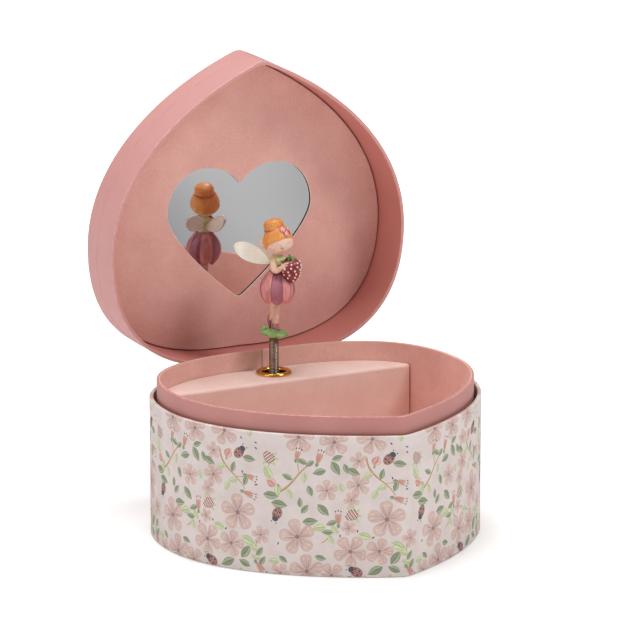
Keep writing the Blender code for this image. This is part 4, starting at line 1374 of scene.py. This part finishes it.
def make_berry():
    """The strawberry she hugs, with raised white seeds and a leafy cap."""
    top, height = 60.4, 12.0
    lean = Matrix.Translation((0, -10.5, top)) @ Matrix.Rotation(math.radians(-7), 4, "Y") \
        @ Matrix.Rotation(math.radians(-4), 4, "X")
    profile = [(berry_radius(step / 36), -height * step / 36) for step in range(37)]
    profile[0] = (0, 0)
    profile[-1] = (0, -height)
    body = turned("berry_fruit", profile, 48)
    body.transform(lean)
    add_figure("berry_fruit", body, (PAINT_BERRY,), "painted_berry", replaces=["berry"], angle=60)
    seeds = []
    for row in range(6):
        t = 0.16 + row * 0.145
        radius = berry_radius(t)
        number = max(int(radius * 1.95), 4)
        for column in range(number):
            angle = TURN * (column + 0.5 * (row % 2)) / number
            centre = (radius * math.cos(angle), radius * math.sin(angle), -height * t)
            seeds.append(ball("seed", (0.50, 0.50, 0.56), centre, 10, 8))
    dots = merge("berry_seeds", seeds)
    dots.transform(lean)
    add_figure("berry_seeds", dots, (PAINT_WHITE,), "painted_wing")
    sepals = []
    for number in range(6):
        path = [(0, 0, 0.35, 0.6), (0.9, 0, 0.45, 0.85), (1.9, 0, 0.3, 0.8), (2.8, 0, -0.3, 0.4), (3.2, 0, -0.9, 0.1)]
        sepal = limb("sepal", path, 5, 14, 0.42)
        sepal.transform(Matrix.Rotation(TURN * number / 6 + 0.3, 4, "Z"))
        sepals.append(sepal)
    sepals.append(limb("stalk", [(0, 0, 0.2, 0.7), (0.1, 0.1, 1.2, 0.55), (0.3, 0.2, 1.9, 0.6)], 5, 14))
    cap = merge("berry_cap", sepals)
    cap.transform(lean)
    add_figure("berry_cap", cap, (PAINT_CALYX,), "painted_leaf")


def hair_edge(azimuth):
    """How far down from the crown the hair reaches; azimuth 0 faces forward and it falls lower on her right."""
    turn = math.degrees(azimuth)
    turn = turn - 360 if turn > 180 else turn
    fall = 12 * math.exp(-((turn + 95) / 30) ** 2)
    return math.radians(97.5 - 31.0 * math.cos(azimuth - math.radians(25)) + fall)


def make_head():
    """The doll's round face with a small nose, under combed-up hair with a bun."""
    face = ball("face", (7.42, 7.35, 6.25), segments=64, rings=40)
    nose = ball("nose", (0.62, 0.60, 0.48), (0, -7.35, -0.6), 20, 12)
    ears = [ball("ear", (0.7, 1.0, 1.3), (side * 7.2, 0.6, -1.6), 16, 12) for side in (-1, 1)]
    add_figure("dancer_face", merge("dancer_face", [face, nose, *ears]), (PAINT_FACE,), "painted_wing", HEAD,
               ["dancer_head"], 60)
    smile = [limb("smile", [(-0.8, -7.16, -1.9, 0.07), (-0.3, -7.20, -2.08, 0.09), (0.3, -7.20, -2.08, 0.09),
                            (0.8, -7.16, -1.9, 0.07)], 4, 8)]
    add_figure("dancer_smile", merge("dancer_smile", smile), (PAINT_MARK,), "painted_berry", HEAD)
    make_hair()
    make_bun()


def make_hair():
    """Thick hair combed from the hairline up into the foot of the bun."""
    sections = []
    rows, columns = 44, 144
    for layer in range(2):
        for row in range(rows + 1):
            share = row / rows if layer == 0 else 1 - row / rows
            loop = []
            for column in range(columns):
                azimuth = TURN * column / columns
                polar = hair_edge(azimuth)
                edge = Vector((math.sin(polar) * math.sin(azimuth), -math.sin(polar) * math.cos(azimuth), math.cos(polar)))
                way = HAIR_AXIS.slerp(edge, 0.03 + 0.97 * share)
                skull = Vector((way.x / 7.42, way.y / 7.35, way.z / 6.25)).length
                strand = 0.06 * math.cos(azimuth * 30 + share * 3.0) + 0.04 * math.cos(azimuth * 52 - share * 4)
                lift = 0.34 + 2.6 * max(way.z, 0) ** 2.4 * (1 - share ** 3)
                lip = min(1.0, (1.01 - share) * 9) ** 0.5
                grow = (lift + strand * min(share * 3, 1)) * lip if layer == 0 else -0.3
                loop.append(way * (1 / skull + grow))
            sections.append(loop)
    mesh = loft("dancer_hair", sections, wrap_sections=True)
    add_figure("dancer_hair", mesh, (PAINT_HAIR,), "painted_hair", HEAD, angle=70)


def make_bun():
    """The coiled bun, the band round its foot and the flowers on the band."""
    foot = HEAD @ Matrix.Translation((-1.4, 1.2, 5.5)) @ Matrix.Rotation(math.radians(-11), 4, "Y") \
        @ Matrix.Rotation(math.radians(-8), 4, "X")
    sections = []
    for row in range(41):
        t = math.sin(row / 40 * math.pi / 2)
        radius = 5.25 * max(1 - t ** 4.5, 0.0001) ** 0.46 * (1 - 0.07 * (1 - t) ** 2)
        loop = []
        for column in range(72):
            angle = TURN * column / 72
            coil = math.sin((t * 2.7 + column / 72) * TURN)
            groove = 0.30 * (abs(coil) ** 0.5 - 0.8) * min((1 - t) * 6, 1)
            strand = 0.05 * math.cos(angle * 3 + t * 60) * min((1 - t) * 6, 1)
            grown = radius + groove + strand
            loop.append(Vector((grown * math.cos(angle), grown * math.sin(angle), 6.2 * t)))
        sections.append(loop)
    bun = loft("dancer_bun", sections)
    add_figure("dancer_bun", bun, (PAINT_HAIR,), "painted_hair", foot, angle=70)
    band = turned("band", [(4.98 + 0.34 * math.cos(TURN * i / 12), 0.9 + 0.36 * math.sin(TURN * i / 12)) for i in range(12)],
                  64, closed=True)
    add_figure("hair_band", band, (PAINT_PLUM_PINK,), "painted_skirt", foot)
    make_hair_flowers()


def make_hair_flowers():
    """Small five-petalled flowers with white dots, on the band over her brow."""
    petals, hearts = [], []
    for place, size in (((0.9, -4.6, 7.2), 1.05), ((2.7, -5.6, 5.2), 1.0), ((5.4, -3.2, 5.5), 0.68), ((3.9, -3.5, 7.1), 0.55)):
        out = (Vector(place) - Vector((-0.5, 0.5, 3.0))).normalized()
        placing = Matrix.Translation(place) @ out.to_track_quat("Z", "Y").to_matrix().to_4x4() @ Matrix.Scale(size, 4)
        for number in range(5):
            spoke = placing @ Matrix.Rotation(TURN * number / 5, 4, "Z")
            leaf = ball("petal", (0.80, 0.60, 0.34), (0.85, 0, 0), 14, 10)
            leaf.transform(spoke)
            petals.append(leaf)
            dot = ball("dot", (0.20, 0.20, 0.16), (0.72, 0, 0.33), 8, 6)
            dot.transform(spoke)
            hearts.append(dot)
        heart = ball("heart", (0.38, 0.38, 0.34), (0, 0, 0.2), 12, 8)
        heart.transform(placing)
        hearts.append(heart)
    add_figure("hair_flowers", merge("hair_flowers", petals), (PAINT_ROSE,), "painted_skirt", HEAD)
    add_figure("hair_flower_hearts", merge("hair_flower_hearts", hearts), (PAINT_WHITE,), "painted_wing", HEAD)


def make_wing(name, side, node):
    """An oval wing with a raised rim and grooves along it, slanting up and away from her back."""
    length = 20.2
    sections = []
    count = 60
    for number in range(count + 1):
        s = math.sin(number / count * math.pi / 2)
        half = 4.45 * max(math.sin(math.pi * s ** 1.3), 0.0002) ** 0.5
        loop = []
        for step in range(56):
            angle = TURN * step / 56
            v = math.cos(angle)
            inside = min((1 - abs(v)) * half, (1 - s) * length)
            rim = 1 - min(max(inside - 0.75, 0) / 0.30, 1)
            groove = 0.5 - 0.5 * math.cos(v * 19)
            depth = 0.12 + 0.66 * rim + 0.16 * (1 - rim) * (1 - groove) * math.sin(math.pi * min(s * 1.1, 1))
            through = math.copysign(abs(math.sin(angle)) ** 0.5, math.sin(angle)) * depth
            loop.append(Vector((length * s, v * half, through + 0.6 * math.sin(math.pi * s))))
        sections.append(loop)
    mesh = loft(name, sections)
    spread = math.radians(61)
    heading = Matrix.Rotation(spread if side > 0 else math.pi - spread, 4, "Z")
    twist = math.radians(112)
    mesh.transform(Matrix.Translation((0.9 * side, 1.3, 57.0)) @ heading
                   @ Matrix.Rotation(math.radians(-25), 4, "Y") @ Matrix.Rotation(twist, 4, "X"))
    add_figure(name, mesh, (PAINT_CREAM,), "painted_wing", replaces=[node])


# What stays from the frame

def finish_frame():
    """Metals and other finishes for the CAD nodes that are kept."""
    finishes = {
        "brass": BRASS, "steel": STEEL, "cast_zinc": ZINC, "nylon": NYLON, "gold_plate": GOLD,
        "suede_paper": SUEDE, "grey_board": BOARD, "pink_paper": SATIN,
    }
    for name, node in frame["nodes"].items():
        slots = frame["record"]["nodes"].get(name) if isinstance(frame["record"].get("nodes"), dict) else None
        material = finishes.get(slots) if isinstance(slots, str) else None
        for slot in node.material_slots:
            base = slot.material.name.split(".")[0] if slot.material else ""
            slot.material = material or finishes.get(base, STEEL)


# Studio

def area_light(name, place, target, size, power, colour=(1, 1, 1)):
    light = bpy.data.lights.new(name, "AREA")
    light.energy = power
    light.size = size
    light.color = colour
    thing = bpy.data.objects.new(name, light)
    thing.location = place
    thing.rotation_euler = (Vector(target) - Vector(place)).to_track_quat("-Z", "Y").to_euler()
    bpy.context.scene.collection.objects.link(thing)


def make_studio():
    floor = new_mesh("floor", [(-6, -6, 0), (6, -6, 0), (6, 6, 0), (-6, 6, 0)], [(0, 1, 2, 3)])
    material, start = new_material("floor_paper")
    grain = start.place().noise(6.0)
    x, y, z = start.place().split()
    mirrored = start.node("ShaderNodeLightPath", output="Is Glossy Ray")
    glow = ((x.squared() + y.squared()).step(0.04, 0.60) * 0.55 + 0.25) * mirrored.ramp(1.0, 0.37)
    base = mirrored.colour(grain.colour(rgb(247, 247, 247), rgb(244, 244, 244)), rgb(159, 159, 160))
    set_finish(material, base, 0.85, Emission_Color=rgb(255, 255, 255), Emission_Strength=glow)
    floor.materials.append(material)
    thing = bpy.data.objects.new("floor", floor)
    thing.location.z = -0.2 * MM
    bpy.context.scene.collection.objects.link(thing)
    world = bpy.data.worlds.new("studio")
    world.use_nodes = True
    background = world.node_tree.nodes["Background"]
    background.inputs["Color"].default_value = rgb(255, 254, 252)
    background.inputs["Strength"].default_value = 0.24
    bpy.context.scene.world = world
    target = (0, 0, 0.1)
    area_light("key", (0.75, -1.0, 1.42), target, 0.45, 11.5)
    area_light("fill", (-1.5, -0.35, 0.8), target, 1.0, 4.6)
    area_light("top", (-0.15, 0.30, 1.65), target, 0.9, 20.0)
    bpy.context.scene.view_settings.view_transform = "Standard"


def make_camera():
    camera = bpy.data.cameras.new("camera")
    camera.lens = 220.0
    camera.sensor_width = 36.0
    camera.clip_start = 0.05
    thing = bpy.data.objects.new("camera", camera)
    target = Vector((0, 0.0118, 0.1067))
    azimuth, elevation, distance = math.radians(-27.5), math.radians(13.66), 1.918
    way = Vector((math.sin(azimuth) * math.cos(elevation), -math.cos(azimuth) * math.cos(elevation), math.sin(elevation)))
    thing.location = target + way * distance
    thing.rotation_euler = (-way).to_track_quat("-Z", "Y").to_euler()
    bpy.context.scene.collection.objects.link(thing)
    bpy.context.scene.camera = thing


PRINT = printed_paper("print", 73.0, WALL_TOP / MM)
# The last colour of each satin paper lightens its rounded edges: partly wear, partly painted highlight.
SATIN = satin_paper("satin", (206, 147, 143), (211, 153, 149), (230, 186, 180))
NECK_SATIN = satin_paper("neck_satin", (194, 129, 123), (202, 138, 131), (228, 176, 168))
# Deeper copy of the satin for the lid's inner walls: painted shade and pink bounce light.
INNER_SATIN_PAINTED_SHADE = satin_paper("inner_satin_painted_shade", (208, 134, 125), (214, 143, 133), (230, 174, 165))
SUEDE = suede_paper("suede", (238, 190, 178), (246, 212, 202), (226, 174, 162))
SUEDE_SEAM = suede_paper("suede_seam", (236, 188, 176), (246, 212, 202), (224, 170, 158), seam=True)
# Paler copy of the suede for the deck card: painted light for its up-facing top.
SUEDE_PAINTED_LIT = suede_paper("suede_painted_lit", (241, 212, 202), (248, 226, 218), (232, 198, 187))
SUEDE_LID = suede_paper("suede_lid", (229, 179, 168), (240, 202, 192), (218, 164, 153))
BOARD = plain_board("bare_board", (176, 166, 156), (120, 108, 98))
CREAM_EDGE = plain_board("cream_edge", (255, 244, 230), (236, 214, 194))
# Painted shadow: the near-black colour of the gap between the lining's cut edge and the mirror.
PAINTED_GAP_SHADOW = plain_board("painted_gap_shadow", (58, 36, 30), (38, 22, 18))
CLOTH = woven_cloth("book_cloth", (198, 130, 124), (150, 88, 84))
MIRROR = mirror_sheet("mirror")
GOLD = metal("gold", (226, 178, 92), (196, 140, 60), 0.18)
BRASS = metal("brass_metal", (208, 172, 104), (164, 126, 66), 0.30, (1.0, 1.0, 8.0))
STEEL = metal("steel_metal", (176, 172, 168), (140, 134, 130), 0.28, (6.0, 6.0, 1.0))
NICKEL = metal("nickel", (186, 174, 158), (132, 120, 108), 0.34)
ZINC = metal("zinc_metal", (158, 158, 160), (128, 128, 130), 0.50)
NYLON = plastic("nylon_white", (226, 224, 216))
# Each paint's second colour fills its creases, partly as paint wash and partly as painted shade, and tints its brush
# marks.
PAINT_LEAF = paint("paint_leaf", (150, 186, 108), (70, 108, 48))
PAINT_CALYX = paint("paint_calyx", (112, 150, 74), (58, 92, 40))
PAINT_PINK = paint("paint_pink", (230, 156, 148), (112, 42, 56), wash=2.2 * MM, streak=(1.0, 1.0, 0.15))
PAINT_PLUM = paint("paint_plum", (190, 122, 138), (92, 36, 54), wash=2.2 * MM, streak=(1.0, 1.0, 0.15))
PAINT_PLUM_PINK = paint("paint_band", (204, 96, 108), (130, 48, 62))
PAINT_ROSE = paint("paint_rose", (240, 160, 168), (200, 96, 110), wash=0.5 * MM)
PAINT_LIME = paint("paint_lime", (228, 232, 166), (164, 164, 92), wash=0.7 * MM)
PAINT_SKIN = paint("paint_skin", (242, 204, 180), (186, 122, 98), wash=1.0 * MM)
PAINT_FACE = paint("paint_face", (244, 210, 190), (196, 132, 110), wash=1.0 * MM)
PAINT_HAIR = paint("paint_hair", (232, 156, 78), (178, 98, 34), wash=0.8 * MM, streak=(1.0, 1.0, 0.4))
PAINT_BERRY = paint("paint_berry", (150, 54, 58), (92, 28, 34), roughness=0.22)
PAINT_WHITE = paint("paint_white", (250, 238, 230), (226, 196, 186), wash=0.2 * MM)
PAINT_MARK = paint("paint_mark", (176, 92, 78), (140, 66, 56), wash=0.2 * MM)
PAINT_CREAM = paint("paint_cream", (255, 253, 240), (216, 198, 168), wash=1.8 * MM, streak=(0.25, 0.25, 0.25))

make_box()
make_deck()
make_grommet()
make_lid()
make_hinge_cloth()
make_spring()
make_key()
make_screws()
make_leaf()
make_skirt()
make_limbs(make_torso())
make_berry()
make_head()
make_wing("wing_right_blade", -1, "wing_right")
make_wing("wing_left_blade", 1, "wing_left")
finish_frame()
make_studio()
make_camera()
